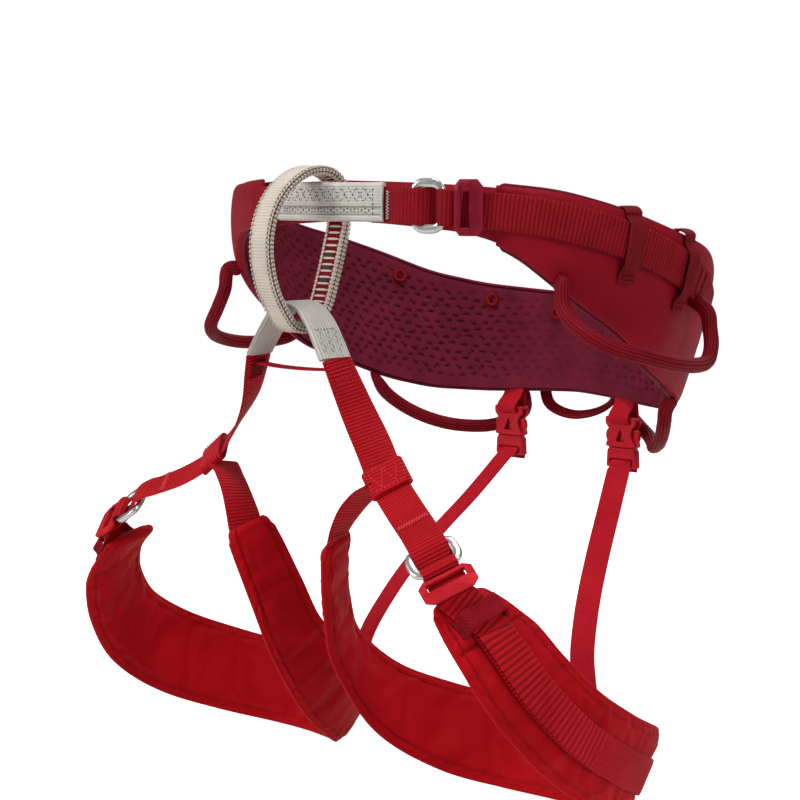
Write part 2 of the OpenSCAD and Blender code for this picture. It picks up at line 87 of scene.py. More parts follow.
# The room looks pure white, but lights the cloth only softly, so that the lamps shape it.
room_seen = world.node_tree.nodes.new("ShaderNodeLightPath")
room_strength = world.node_tree.nodes.new("ShaderNodeMapRange")
room_strength.inputs["To Min"].default_value = room_light
room_strength.inputs["To Max"].default_value = 1.0
world.node_tree.links.new(room_seen.outputs["Is Camera Ray"], room_strength.inputs["Value"])
world.node_tree.links.new(room_strength.outputs["Result"], room.inputs["Strength"])
bpy.context.scene.world = world


def soft_lamp(name, place, size, power):
    """Square area lamp that looks at the middle of the harness."""
    lamp = bpy.data.objects.new(name, bpy.data.lights.new(name, "AREA"))
    lamp.data.size = size
    lamp.data.energy = power
    lamp.location = place
    lamp.rotation_euler = (Vector((0, 0, -0.08)) - Vector(place)).to_track_quat("-Z", "Y").to_euler()
    bpy.context.scene.collection.objects.link(lamp)


soft_lamp("lamp_top", (0.1, -0.25, 1.5), 0.6, 13)
soft_lamp("lamp_left", (-0.7, -1.5, 0.6), 0.5, 12)
soft_lamp("lamp_right", (1.5, -0.2, 0.7), 0.5, 5.5)
soft_lamp("lamp_back", (-0.4, 1.5, 0.8), 0.7, 5)


def shader(name, color, roughness, **sockets):
    """New material with one Principled shader; returns the material, its nodes, links and shader."""
    material = bpy.data.materials.new(name)
    material.use_nodes = True
    nodes, links = material.node_tree.nodes, material.node_tree.links
    principled = nodes["Principled BSDF"]
    principled.inputs["Base Color"].default_value = (*color, 1)
    principled.inputs["Roughness"].default_value = roughness
    for socket, value in sockets.items():
        principled.inputs[socket.replace("_", " ")].default_value = value
    return material, nodes, links, principled


floor_half = 9.0
floor_z = cad_low.z - 0.003
floor_mesh = bpy.data.meshes.new("studio_floor")
floor_mesh.from_pydata([(x, y, floor_z) for x, y in ((-1, -1), (1, -1), (1, 1), (-1, 1))], [], [(0, 1, 2, 3)])
studio_floor = bpy.data.objects.new("studio_floor", floor_mesh)
studio_floor.scale = (floor_half, floor_half, 1)
bpy.context.scene.collection.objects.link(studio_floor)
paper, paper_nodes, paper_links, paper_shader = shader("floor_paper", (0.85, 0.85, 0.85), 0.9,
                                                       Specular_IOR_Level=0.0)
paper_seen = paper_nodes.new("ShaderNodeMapRange")
paper_seen.inputs["To Max"].default_value = floor_glow
paper_links.new(paper_nodes.new("ShaderNodeLightPath").outputs["Is Camera Ray"], paper_seen.inputs["Value"])
paper_links.new(paper_seen.outputs["Result"], paper_shader.inputs["Emission Strength"])
paper_shader.inputs["Emission Color"].default_value = (1, 1, 1, 1)
floor_mesh.materials.append(paper)

# ---- Waist belt shell ----
# The outer skin of the belt is satin-faced nylon over foam, cut high at the hips and
# low behind. It is bound along both edges, where it is sewn to the lining.
belt_a, belt_b = 150.0, 116.0
shell_t, lining_t, gap = 5.0, 4.0, 0.3
pad_left, pad_right = 42.0, 339.0
belt_top = [(0, 56), (20, 55), (40, 53), (56, 49.5), (70, 42), (82, 34), (94, 27),
            (106, 21), (120, 11), (135, -2), (150, -9), (165, -12), (180, -14)]
belt_bottom = [(0, 32), (20, 29), (35, 26), (45, 19), (53, 5), (60, -7), (68, -18), (76, -28),
               (86, -45), (95, -51), (105, -58), (120, -68), (135, -74), (152, -75), (180, -72)]
belt_bulge = [(0, 0), (42, 0), (54, 4), (66, 5), (80, 3), (100, 0), (180, 0)]
belt_lean = [(0, 0), (50, 0), (75, 8), (100, 19), (125, 19), (150, 15), (180, 13)]
soften = (-4, -2, 0, 2, 4)    # degrees over which the corners of a table are rounded off


def look(t, table):
    """Value of a table at angles t from the front, with its corners rounded off."""
    u = np.abs((np.asarray(t, float) + 180) % 360 - 180)
    keys, values = zip(*table)
    return sum(np.interp(u + k, keys, values) for k in soften) / len(soften)


def around(t, off, z):
    """Point at angle t and height z, off outside the belt's outer face."""
    r = np.radians(t)
    x, y, z = np.broadcast_arrays((belt_a + off) * np.sin(r), -(belt_b + off) * np.cos(r), z)
    return np.stack([x, y, z], -1)


def on_belt(t, v, off):
    """Point of the belt at angle t and height fraction v, off outside its outer face."""
    z0, z1 = look(t, belt_bottom), look(t, belt_top)
    lean = look(t, belt_lean) * np.clip(1 - v, 0, 1.2) ** 1.5
    return around(t, off - lean + look(t, belt_bulge) * 4 * v * (1 - v), z0 + (z1 - z0) * v)


def height_at(t, z):
    """Height fraction of the belt at angle t and height z."""
    z0, z1 = look(t, belt_bottom), look(t, belt_top)
    return (z - z0) / (z1 - z0)


def build(name, points, faces, uvs=None, mirror=False, sharp=50):
    """Object from points in millimetres; mirror makes the right-hand twin of a left-hand piece."""
    points = np.array(points, float).reshape(-1, 3) * MM
    if mirror:
        points[:, 0] *= -1
    mesh = bpy.data.meshes.new(name)
    mesh.from_pydata(points.tolist(), [], faces)
    if uvs is not None:
        layer = mesh.uv_layers.new(name="cloth")
        layer.data.foreach_set("uv", np.array([c for u in uvs for c in u], float).ravel())
    editable = bmesh.new()
    editable.from_mesh(mesh)
    bmesh.ops.recalc_face_normals(editable, faces=editable.faces)
    editable.to_mesh(mesh)
    editable.free()
    mesh.polygons.foreach_set("use_smooth", [True] * len(mesh.polygons))
    mesh.set_sharp_from_angle(angle=math.radians(sharp))
    piece = bpy.data.objects.new(name, mesh)
    bpy.context.scene.collection.objects.link(piece)
    return piece


def skin(name, rings, u=None, loop=False, mirror=False, sharp=50, hollow=None):
    """Closed surface over rings of equal point count; u, in metres, is the place of each ring in the cloth.
    hollow says, for each point, how deep it lies in a groove, from 0 to 1: the colour is darkened there as
    painted shade."""
    rings = np.asarray(rings, float)
    m, n = rings.shape[:2]
    if u is None:
        step = np.linalg.norm(np.diff(rings, axis=0), axis=2).mean(1)
        u = np.concatenate([[0], np.cumsum(step)]) * MM
    step = np.linalg.norm(np.roll(rings, -1, 1) - rings, axis=2).mean(0)
    v = np.concatenate([[0], np.cumsum(step)]) * MM
    if loop:
        u = np.append(u, u[-1] + (u[-1] - u[-2]))
    faces, uvs = [], []
    for i in range(m if loop else m - 1):
        k = (i + 1) % m
        for j in range(n):
            q = (j + 1) % n
            faces.append((i * n + j, i * n + q, k * n + q, k * n + j))
            uvs.append(((u[i], v[j]), (u[i], v[j + 1]), (u[i + 1], v[j + 1]), (u[i + 1], v[j])))
    if not loop:
        faces += [tuple(range(n))[::-1], tuple((m - 1) * n + j for j in range(n))]
        uvs += [[(u[0], v[j]) for j in range(n)][::-1], [(u[-1], v[j]) for j in range(n)]]
    piece = build(name, rings, faces, uvs, mirror, sharp)
    if hollow is not None:
        depth = piece.data.attributes.new("hollow", "FLOAT", "POINT")
        depth.data.foreach_set("value", np.clip(np.broadcast_to(hollow, (m, n)), 0, 1).ravel())
    return piece


def finish_piece(piece, material, body, slot, *nodes):
    """Gives a piece its material, the body it moves with and the frame nodes it stands for; slot is not used.
    """
    if material is not None:
        piece.data.materials.append(material)
    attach(piece, body)
    if nodes:
        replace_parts(piece, *nodes)
    return piece


def group(name, inputs, outputs):
    """Empty shader node group with named float, colour or vector sockets."""
    tree = bpy.data.node_groups.new(name, "ShaderNodeTree")
    for label, kind, value in inputs:
        socket = tree.interface.new_socket(label, in_out="INPUT", socket_type=kind)
        if value is not None:
            socket.default_value = value
    for label, kind in outputs:
        tree.interface.new_socket(label, in_out="OUTPUT", socket_type=kind)
    return tree, tree.nodes.new("NodeGroupInput"), tree.nodes.new("NodeGroupOutput")


def math_node(tree, kind, a, b=None, c=None):
    """Math node in a tree; each argument is a number or an output socket."""
    node = tree.nodes.new("ShaderNodeMath")
    node.operation = kind
    for k, value in enumerate((a, b, c)):
        if isinstance(value, bpy.types.NodeSocket):
            tree.links.new(value, node.inputs[k])
        elif value is not None:
            node.inputs[k].default_value = value
    return node.outputs[0]


def noise(tree, scale, detail=2.0, distortion=0.0):
    """Noise texture in a node tree, in the harness's own coordinates."""
    texture = tree.nodes.new("ShaderNodeTexNoise")
    texture.inputs["Scale"].default_value = scale
    texture.inputs["Detail"].default_value = detail
    texture.inputs["Distortion"].default_value = distortion
    tree.links.new(tree.nodes.new("ShaderNodeTexCoord").outputs["Object"], texture.inputs["Vector"])
    return texture


def thread_angles(tree, pitches):
    """The cloth's own lengths along and across it, as angles that turn once for each thread."""
    place = tree.nodes.new("ShaderNodeUVMap")
    place.uv_map = "cloth"
    split = tree.nodes.new("ShaderNodeSeparateXYZ")
    tree.links.new(place.outputs["UV"], split.inputs["Vector"])
    return [math_node(tree, "DIVIDE", math_node(tree, "MULTIPLY", split.outputs[axis], 2 * math.pi / MM),
                      pitches.outputs[pitch]) for axis, pitch in (("X", "Along"), ("Y", "Across"))]


# Cloth tone: slow changes of shade over a piece, with a fine fleck, as dyed cloth has.
FLOAT, COLOR = "NodeSocketFloat", "NodeSocketColor"
tone, tone_in, tone_out = group("cloth_tone", [
    ("Light", COLOR, None), ("Dark", COLOR, None), ("Patch Scale", FLOAT, 30), ("Fleck", FLOAT, 0.25)],
    [("Color", COLOR)])
patches = noise(tone, 30, detail=3)
flecks = noise(tone, 900)
tone.links.new(tone_in.outputs["Patch Scale"], patches.inputs["Scale"])
fleck_part = math_node(tone, "MULTIPLY", math_node(tone, "SUBTRACT", flecks.outputs["Fac"], 0.5),
                       tone_in.outputs["Fleck"])
tone_mix = tone.nodes.new("ShaderNodeMix")
tone_mix.data_type = "RGBA"
spread = math_node(tone, "MULTIPLY_ADD", math_node(tone, "SUBTRACT", patches.outputs["Fac"], 0.5), 1.3, 0.45)
tone.links.new(math_node(tone, "ADD", spread, fleck_part), tone_mix.inputs["Factor"])
tone.links.new(tone_in.outputs["Light"], tone_mix.inputs["A"])
tone.links.new(tone_in.outputs["Dark"], tone_mix.inputs["B"])
tone.links.new(tone_mix.outputs["Result"], tone_out.inputs["Color"])

# Plain weave: two sets of threads that cross, in the cloth's own lengths along and across.
weave, weave_in, weave_out = group("plain_weave", [
    ("Along", FLOAT, 0.5), ("Across", FLOAT, 0.5)], [("Height", FLOAT)])
along, across = thread_angles(weave, weave_in)
crossing = math_node(weave, "MULTIPLY", math_node(weave, "SINE", along), math_node(weave, "SINE", across))
weave.links.new(math_node(weave, "MULTIPLY_ADD", crossing, 0.5, 0.5), weave_out.inputs["Height"])


def add_group(material, tree, **values):
    """Places a node group in a material, with its values set by name."""
    node = material.node_tree.nodes.new("ShaderNodeGroup")
    node.node_tree = tree
    for socket, value in values.items():
        node.inputs[socket.replace("_", " ")].default_value = value
    return node


def add_bump(material, height, strength, distance, after=None):
    """Bump from a height socket; distance is in millimetres."""
    bump = material.node_tree.nodes.new("ShaderNodeBump")
    bump.inputs["Strength"].default_value = strength
    bump.inputs["Distance"].default_value = distance * MM
    material.node_tree.links.new(height, bump.inputs["Height"])
    if after is not None:
        material.node_tree.links.new(after.outputs["Normal"], bump.inputs["Normal"])
    material.node_tree.links.new(bump.outputs["Normal"],
                                 material.node_tree.nodes["Principled BSDF"].inputs["Normal"])
    return bump


def shade_hollows(material, color, height, thread_shade, keep):
    """Paints shade into a colour: darkens it in grooves and, a little, between threads; keep is what is left of
    it there.
    """
    nodes, links = material.node_tree.nodes, material.node_tree.links
    groove = nodes.new("ShaderNodeAttribute")
    groove.attribute_name = "hollow"
    between = math_node(material.node_tree, "MULTIPLY_ADD", height, -thread_shade, thread_shade)
    depth = math_node(material.node_tree, "MINIMUM",
                      math_node(material.node_tree, "ADD", groove.outputs["Fac"], between), 1.0)
    darken = nodes.new("ShaderNodeMix")
    darken.data_type = "RGBA"
    darken.blend_type = "MULTIPLY"
    links.new(depth, darken.inputs["Factor"])
    links.new(color, darken.inputs["A"])
    darken.inputs["B"].default_value = (*keep, 1)
    links.new(darken.outputs["Result"], nodes["Principled BSDF"].inputs["Base Color"])


def cloth(name, light, dark, roughness, threads, thread_depth, patch=30, fleck=0.25, crease=0.0,
          keep=(0.36, 0.28, 0.28), **sockets):
    """Woven cloth: tone, thread relief and, where asked, soft creases."""
    material = shader(name, light, roughness, **{"Specular_IOR_Level": 0.08, **sockets})[0]
    shade = add_group(material, tone, Light=(*light, 1), Dark=(*dark, 1), Patch_Scale=patch, Fleck=fleck)
    threads_node = add_group(material, weave, Along=threads[0], Across=threads[1])
    # Painted shade: the colour is darkened between the threads and in the grooves that the hollow attribute
    # marks.
    thread_shade = 0.3 if thread_depth > 0.05 else 0.1
    shade_hollows(material, shade.outputs["Color"], threads_node.outputs["Height"], thread_shade, keep)
    bump = add_bump(material, threads_node.outputs["Height"], 0.8, thread_depth)
    if crease:
        folds = noise(material.node_tree, 45, distortion=0.6)
        add_bump(material, folds.outputs["Fac"], 0.5, crease, after=bump)
    return material


satin = cloth("satin_shell", (0.36, 0.007, 0.019), (0.20, 0.003, 0.011), 0.55, (0.35, 0.35), 0.02,
              crease=1.6, Specular_IOR_Level=0.13, Specular_Tint=(1, 0.5, 0.5, 1))

step_t = 1.0
shell_angles = np.arange(pad_left, pad_right + 0.01, step_t)
rise = np.linspace(0.02, 0.98, 34)


def belt_ripple(t, v):
    """Shallow waves that the foam takes between its sewn edges."""
    wave = np.sin(t / 9.0 + 3 * v) * np.sin(t / 23.0 - 2 * v + 1)
    return wave * np.sin(np.pi * np.clip(v, 0, 1)) ** 0.7


def edge_roll(v, reach):
    """1 in the open face, falling to 0 at the sewn edges over the reach, as a quarter round."""
    d = np.clip(np.minimum(v, 1 - v) / reach, 0, 1)
    return np.sqrt(1 - (1 - d) ** 2)


shell_rings = []
for t in shell_angles:
    end = np.clip(min(t - pad_left, pad_right - t) / 2.2, 0, 1)
    plump = math.sqrt(1 - (1 - end) ** 2) * 0.85 + 0.15
    middle = -shell_t / 2
    half = shell_t / 2 * plump
    web_free = np.clip((t - 118) / 12, 0, 1) if t < 180 else 1.0
    swell = 0.7 * belt_ripple(t, rise) * np.where(rise < 0.45, 1, web_free)
    out = middle + half * edge_roll(rise, 0.10) + np.minimum(swell, 0.5)
    inner = middle - half * edge_roll(rise, 0.10)
    ring = np.concatenate([on_belt(t, rise, out), on_belt(t, rise[::-1], inner[::-1])])
    shell_rings.append(ring)
shell = skin("belt_shell_cover", shell_rings)
finish_piece(shell, satin, "root", "shell_fabric", "belt_shell")


# ---- Belt lining ----
# The face that touches the wearer is a soft maroon laminate, pressed with rows of
# small pointed hollows where the hips sit, and quilted a little by the foam behind it.
lining_cloth = cloth("lining_laminate", (0.21, 0.017, 0.040), (0.095, 0.008, 0.019), 0.6, (0.5, 0.5), 0.03,
                     patch=55, fleck=0.3, crease=2.2, Specular_IOR_Level=0.12, Specular_Tint=(1, 0.5, 0.6, 1))
lining_out = -shell_t - gap
lining_in = lining_out - lining_t
hollow_depth = [(40, 0), (60, 0.25), (95, 0.7), (112, 1), (150, 1), (163, 0.35), (180, 0.12)]
hollow_step = (8.0, 4.6)       # along and up, between hollows of one row and between rows
hollow_size = (2.6, 1.45)      # half length and half height of one hollow


def hollows(along, up):
    """Depth of the pressed hollows, 0 to 1: a drop shape, blunt at one end and pointed at the other."""
    row = np.round(up / hollow_step[1])
    slip = 0.18 * np.sin(row * 2.3 + np.round(along / hollow_step[0]) * 1.7)
    y = (up - (row + slip) * hollow_step[1]) / hollow_size[1]
    shift = along / hollow_step[0] + 0.5 * (row % 2) + 0.12 * np.sin(row * 5.1)
    x = (shift - np.round(shift)) * hollow_step[0] / hollow_size[0]
    half = np.clip((1 - x) / 1.6, 0, 1) ** 0.8 * np.clip((1 + x) * 4, 0, 1)
    drop = np.clip(1 - (y / np.maximum(half, 0.05)) ** 2, 0, 1) * (half > 0.05)
    return drop * np.clip(1 - x * x, 0, 1) ** 0.3


lining_step, mm_per_degree = 0.36, 2.3
lining_angles = np.arange(pad_left + 0.2, pad_right - 0.1, lining_step)
inner_rise = np.linspace(0.03, 0.97, 84)
outer_rise = np.array([0.95, 0.75, 0.5, 0.25, 0.05])
lining_rings, lining_hollow = [], []
for t in lining_angles:
    tall = look(t, belt_top) - look(t, belt_bottom)
    up = inner_rise * tall
    depth = hollows(t * mm_per_degree, up) * look(t, hollow_depth)
    depth = depth * np.clip(np.minimum(up, tall - up) / 7 - 0.6, 0, 1)
    swell = 0.6 * belt_ripple(t * 1.3 + 40, inner_rise)
    wrinkle = np.sin(t / 2.1 + 5 * inner_rise) * np.sin(t / 5.3 + 2)
    wrinkle = wrinkle + 0.6 * np.sin(t / 1.3 - 7 * inner_rise + 1)
    wrinkle = 0.42 * wrinkle * np.clip(1.1 - inner_rise * 2.4, 0, 1) * np.clip(inner_rise * 12, 0, 1)
    face = lining_in + 1.6 * (1 - edge_roll(inner_rise, 0.09)) + depth - np.clip(swell + wrinkle, -0.8, 0.8)
    face = np.maximum(face, lining_in - 0.9)
    back = np.full(len(outer_rise), lining_out)
    lining_rings.append(np.concatenate([on_belt(t, inner_rise, face), on_belt(t, outer_rise, back)]))
    # Painted shade: the pressed hollows are darkened in colour.
    lining_hollow.append(np.concatenate([depth ** 0.7, 0 * back]))
lining = skin("belt_lining_cover", lining_rings, sharp=75, hollow=lining_hollow)
finish_piece(lining, lining_cloth, "root", "lining_mesh", "belt_lining")


# ---- Belt edges ----
# A thin rolled edge in the lining's cloth closes the seam between shell and lining, with a row of small
# stitches beside it on the shell in the shell's own red.
def curve(points, n=8):
    """Smooth curve through every point, with n steps between points."""
    p = np.array(points, float)
    p = p[:, None] if p.ndim == 1 else p
    out = []
    for i in range(len(p) - 1):
        a, b, c, d = p[max(i - 1, 0)], p[i], p[i + 1], p[min(i + 2, len(p) - 1)]
        t = (np.arange(n) / n)[:, None]
        out.append(0.5 * (2 * b + (c - a) * t + (2 * a - 5 * b + 4 * c - d) * t ** 2
                          + (3 * b - 3 * c + d - a) * t ** 3))
    return np.squeeze(np.concatenate(out + [p[-1:]]))


def unit(v):
    """Vectors scaled to length 1."""
    return v / np.maximum(np.linalg.norm(v, axis=-1, keepdims=True), 1e-9)


class Band:
    """The middle line of a strap or tube, with the direction across it at each point."""

    def __init__(self, points, across, loop=False):
        self.points = np.asarray(points, float)
        across = np.broadcast_to(np.asarray(across, float), self.points.shape)
        if loop:
            ahead = np.roll(self.points, -1, 0) - np.roll(self.points, 1, 0)
        else:
            ahead = np.gradient(self.points, axis=0)
        ahead = unit(ahead)
        self.across = unit(across - (across * ahead).sum(1)[:, None] * ahead)
        self.up = np.cross(ahead, self.across)
        if loop:
            self.points, self.across, self.up = (np.vstack([v, v[:1]])
                                                 for v in (self.points, self.across, self.up))
        steps = np.linalg.norm(np.diff(self.points, axis=0), axis=1)
        self.s = np.concatenate([[0], np.cumsum(steps)])
        self.length = self.s[-1]

    def at(self, s, x=0.0, h=0.0):
        """Points at distance s along, x across and h above the middle line."""
        s, x, h = np.broadcast_arrays(*(np.asarray(v, float) for v in (s, x, h)))
        pick = [np.stack([np.interp(s, self.s, v[:, k]) for k in range(3)], -1)
                for v in (self.points, self.across, self.up)]
        return pick[0] + unit(pick[1]) * x[..., None] + unit(pick[2]) * h[..., None]


def cord_rings(band, radius, spacing, sides=10, ribs=0, rib=0.0, flat_ends=None):
    """Rings of a round cord; ribs are lengthwise ridges. flat_ends is (length, share of height kept)."""
    a = np.arange(sides) * 2 * np.pi / sides
    r = radius - rib * (1 - np.abs(np.cos(a * ribs / 2)) ** 0.8) if ribs else np.full(sides, radius)
    rings = []
    for s in np.linspace(0, band.length, max(int(band.length / spacing), 2) + 1):
        end = min(s, band.length - s)
        grow = 1.0 if end > radius else math.sqrt(max(1 - (1 - end / radius) ** 2, 0.02))
        keep, wide = 1.0, 1.0
        if flat_ends and end < flat_ends[0]:
            k = 0.5 + 0.5 * math.cos(math.pi * end / flat_ends[0])
            keep, wide = 1 - k * (1 - flat_ends[1]), 1 + 0.25 * k
        rings.append(band.at(s, np.cos(a) * r * grow * wide, np.sin(a) * r * grow * keep))
    return rings


thread_sides = 6


def threads(name, runs, radius, material, body, slot, mirror=False):
    """Sewing threads joined in one piece; each run is the points of one stitch or one long zigzag."""
    points, faces = [], []
    a = np.arange(thread_sides) * 2 * np.pi / thread_sides
    for run in runs:
        run = np.asarray(run, float)
        ahead = unit(np.gradient(run, axis=0))
        helper = np.where(np.abs(ahead[:, 2:3]) < 0.8, [[0, 0, 1.0]], [[1.0, 0, 0]])
        one = unit(np.cross(ahead, helper))
        two = np.cross(ahead, one)
        grow = np.ones(len(run))
        grow[[0, -1]] = 0.35
        base = len(points)
        ring = run[:, None] + radius * grow[:, None, None] * (
            one[:, None] * np.cos(a)[None, :, None] + two[:, None] * np.sin(a)[None, :, None])
        points.extend(ring.reshape(-1, 3).tolist())
        for i in range(len(run) - 1):
            for j in range(thread_sides):
                q = (j + 1) % thread_sides
                here, there = base + i * thread_sides, base + (i + 1) * thread_sides
                faces.append((here + j, here + q, there + q, there + j))
        faces.append(tuple(base + j for j in range(thread_sides)))
        faces.append(tuple(base + (len(run) - 1) * thread_sides + j for j in range(thread_sides)))
    return finish_piece(build(name, points, faces, mirror=mirror, sharp=80), material, body, slot)


def dashes(band, line, dash=2.2, space=0.9, lift=0.0):
    """Running stitches along a line of (s, x) places on a band; lift may be a number or one per point."""
    line = np.asarray(line, float)
    steps = np.linalg.norm(np.diff(line, axis=0), axis=1)
    run = np.concatenate([[0], np.cumsum(steps)])
    runs = []
    for start in np.arange(space / 2, run[-1] - dash, dash + space):
        k = np.array([start, start + dash / 2, start + dash])
        s, x = np.interp(k, run, line[:, 0]), np.interp(k, run, line[:, 1])
        runs.append(band.at(s, x, lift + np.array([-0.12, 0.1, -0.12])))
    return runs


def tack(band, s0, s1, x0, x1, turns, lift):
    """Bar tack: one thread that goes to and fro, closely, over a small oblong."""
    k = np.arange(2 * turns + 1)
    s, x = s0 + (s1 - s0) * (k % 2), x0 + (x1 - x0) * k / (2 * turns)
    fine = np.linspace(0, 2 * turns, 8 * turns + 1)
    return [band.at(np.interp(fine, k, s), np.interp(fine, k, x), lift + 0.08 * np.abs(np.sin(fine * np.pi)))]


seam_red = cloth("seam_thread_red", (0.36, 0.008, 0.02), (0.2, 0.004, 0.012), 0.6, (0.5, 0.5), 0.0)
edge_angles = np.arange(pad_left + 0.8, pad_right - 0.8, 1.5)
up_belt = unit(on_belt(edge_angles, 1, 0) - on_belt(edge_angles, 0, 0))
seam_runs = []
for label, v, inset in (("top", 0.985, 0.93), ("bottom", 0.015, 0.06)):
    edge = Band(on_belt(edge_angles, v, -shell_t - gap / 2), up_belt)
    roll = skin(f"belt_edge_{label}", cord_rings(edge, 1.2, 2.0), sharp=80)
    finish_piece(roll, lining_cloth, "root", "lining_mesh")
    sewn = Band(on_belt(edge_angles, inset, -0.15), up_belt)
    seam_runs += dashes(sewn, [(0, 0), (sewn.length, 0)], 2.4, 1.0, -0.35)
threads("belt_edge_stitches", seam_runs, 0.28, seam_red, "root", "shell_fabric")

# ---- Front strip ----
# A thin folded strip of the shell cloth joins the two padded ends behind the tie-in,
# so that the belt stays round when the harness hangs open.
strip_in = [(-26, 11), (-14, 19), (-4, 23), (12, 25), (28, 21), (40, 12.5), (47, 11)]
strip_rings = []
for t in np.arange(-24, 47.5, 1.5):
    low, top = max(look(t, belt_bottom), 20.0), look(t, belt_top)
    off = -sum(np.interp(t + k, *zip(*strip_in)) for k in soften) / len(soften)
    rise_s = np.linspace(0.06, 0.94, 14)
    half = 1.25 * edge_roll((rise_s - 0.06) / 0.88, 0.06) * (1 + 0.12 * math.sin(t / 3.0))
    bow = 0.4 * np.sin(np.pi * rise_s) * math.sin(t / 7.0)
    z = low + (top - low) * rise_s
    strip_rings.append(np.concatenate([around(t, off + half + bow, z),
                                       around(t, off - half[::-1] + bow[::-1], z[::-1])]))
finish_piece(skin("front_strip_cover", strip_rings), satin, "root", "shell_fabric", "front_strip")

# ---- Waist webbing ----
# Flat nylon webbing, 20 mm wide, with close crosswise ribs. It comes from the tie-in,
# goes over and under the steel frame, turns back at the plate and lies on the shell.
web_w, web_t = 20.0, 1.6
web_top = [(0, 52.5), (18, 51.5), (36, 50), (47, 47.5), (56, 44), (65, 38.5), (70, 35),
           (78, 28.5), (90, 18.5), (100, 9.5), (112, -1), (120, -8)]
web_bottom = [(0, 33.5), (18, 32.5), (36, 30.5), (47, 28), (56, 24.6), (65, 19.5), (70, 16),
              (78, 10), (90, 1), (100, -8), (112, -18), (120, -25)]
rib_length = 2.0    # length of one rib in the cloth pattern, whatever its real pitch


def webbing(name, band, wide, thick, pitch=2.2, rib=0.4, cords=0, cord=0.0, mirror=False, loop=False):
    """Ribbed strap along a band: pitch and rib shape its crosswise ribs, cords and cord its lengthwise ones."""
    count = max(int(band.length / pitch * 6), 12)
    x = np.sin(np.linspace(-np.pi / 2, np.pi / 2, 13 if not cords else 6 * cords + 1))
    full = np.sqrt(np.clip(1 - np.abs(x) ** 7, 0, 1))
    ridge_x = cord * (1 - np.abs(np.cos(x * cords * np.pi / 2)) ** 0.7) if cords else 0 * x
    rings, hollow = [], []
    stops = np.linspace(0, band.length, count + 1)
    rib_shade, cord_shade = min(rib / 0.25, 1), ridge_x / cord if cords else 0 * x
    for s in stops[:-1] if loop else stops:
        ridge = abs(math.sin(math.pi * s / pitch)) ** 0.6
        half = (thick / 2 - rib * (1 - ridge) - ridge_x) * full
        half_w = wide / 2 - 0.25 * (1 - ridge) * rib_shade
        top = band.at(s, x * half_w, half)
        low = band.at(s, x[1:-1][::-1] * half_w, -half[1:-1][::-1])
        rings.append(np.concatenate([top, low]))
        # Painted shade: the colour darkens in the rib and cord grooves.
        shade = np.maximum((1 - ridge) ** 0.8 * rib_shade, cord_shade)
        hollow.append(np.concatenate([shade, shade[1:-1]]))
    u = stops * MM * rib_length / pitch
    return skin(name, rings, u=u[:-1] if loop else u, loop=loop, mirror=mirror, sharp=70, hollow=hollow)


def strap(name, band, wide, thick, material, body, slot, *nodes, **weaving):
    """Ribbed strap with its material, body and frame nodes; weaving is what webbing takes."""
    return finish_piece(webbing(name, band, wide, thick, **weaving), material, body, slot, *nodes)


def belt_path(t0, t1, layer, step=1.0):
    """Band of webbing that lies on the shell between two angles, in layer 0 or 1."""
    t = np.arange(t0, t1 + step / 2, step)
    lift = gap + 0.1 + layer * (web_t + gap) + web_t / 2
    low = on_belt(t, height_at(t, look(t, web_bottom)), lift)
    top = on_belt(t, height_at(t, look(t, web_top)), lift)
    return Band((low + top) / 2, top - low)


waist_red = cloth("waist_webbing_nylon", (0.42, 0.011, 0.022), (0.25, 0.005, 0.011), 0.5, (0.45, 0.9), 0.12,
                  patch=60, fleck=1.3, keep=(0.46, 0.38, 0.38), Specular_IOR_Level=0.13,
                  Specular_Tint=(1, 0.45, 0.45, 1))
right_path = belt_path(-24, -9, 0)
strap("waist_webbing_right", right_path, web_w - 0.8, web_t, waist_red, "root", "waist_webbing",
      "waist_web_right")
base_path = belt_path(36, 118, 0)
strap("waist_webbing_base", base_path, web_w - 1.2, web_t, waist_red, "root", "waist_webbing",
      "waist_web_base")
tail_path = belt_path(35, 105, 1)
strap("waist_webbing_tail", tail_path, web_w - 1.0, web_t, waist_red, "root", "waist_webbing", "waist_tail")
rod_d = 3.4
over_bar = gap + 6.4 + web_t / 2
web_climb = [(14, 1.2), (18.5, 1.2), (21.2, 5.2), (22.3, over_bar), (26.4, over_bar), (27.8, 4),
             (29.3, 1.2), (36, 1.2)]
climb_t = np.linspace(15, 34, 60)
climb_off = np.mean([np.interp(climb_t + k, *zip(*web_climb)) for k in (-0.5, 0, 0.5)], axis=0)
climb_z = (look(climb_t, web_top) + look(climb_t, web_bottom)) / 2
front_path = Band(around(climb_t, climb_off, climb_z), (0, 0, 1))
strap("waist_webbing_front", front_path, web_w - 1, web_t, waist_red, "root", "waist_webbing",
      "waist_web_front", pitch=2.0)
wrap_route = [(30.1, 3.7), (30.2, 5.6), (30.7, 7.3), (31.4, 7.7), (32.3, 7.3), (32.9, 5.6), (33.4, 3.9),
              (34.2, 3.4)]
wrap_route = curve(wrap_route)
wrap_z = (look(wrap_route[:, 0], web_top) + look(wrap_route[:, 0], web_bottom)) / 2
wrap_band = Band(around(wrap_route[:, 0], wrap_route[:, 1], wrap_z), (0, 0, 1))
strap("waist_buckle_wrap", wrap_band, web_w - 1.2, web_t, waist_red, "waist_frame", "waist_webbing",
      pitch=2.0)
silver = cloth("silver_thread", (0.50, 0.47, 0.43), (0.30, 0.27, 0.26), 0.45, (0.5, 0.5), 0.0)
threads("buckle_bar_tack", tack(front_path, 9.8, 12.6, -7.2, 7.2, 9, 1.0), 0.34, silver, "root",
        "waist_webbing")
tail_end = tail_path.length
threads("waist_tail_stitches", tack(tail_path, tail_end - 9, tail_end - 5, -7, 7, 13, 0.95)
        + tack(tail_path, tail_end - 16, tail_end - 12, -7, 7, 13, 0.95), 0.3, waist_red, "root",
        "waist_webbing")

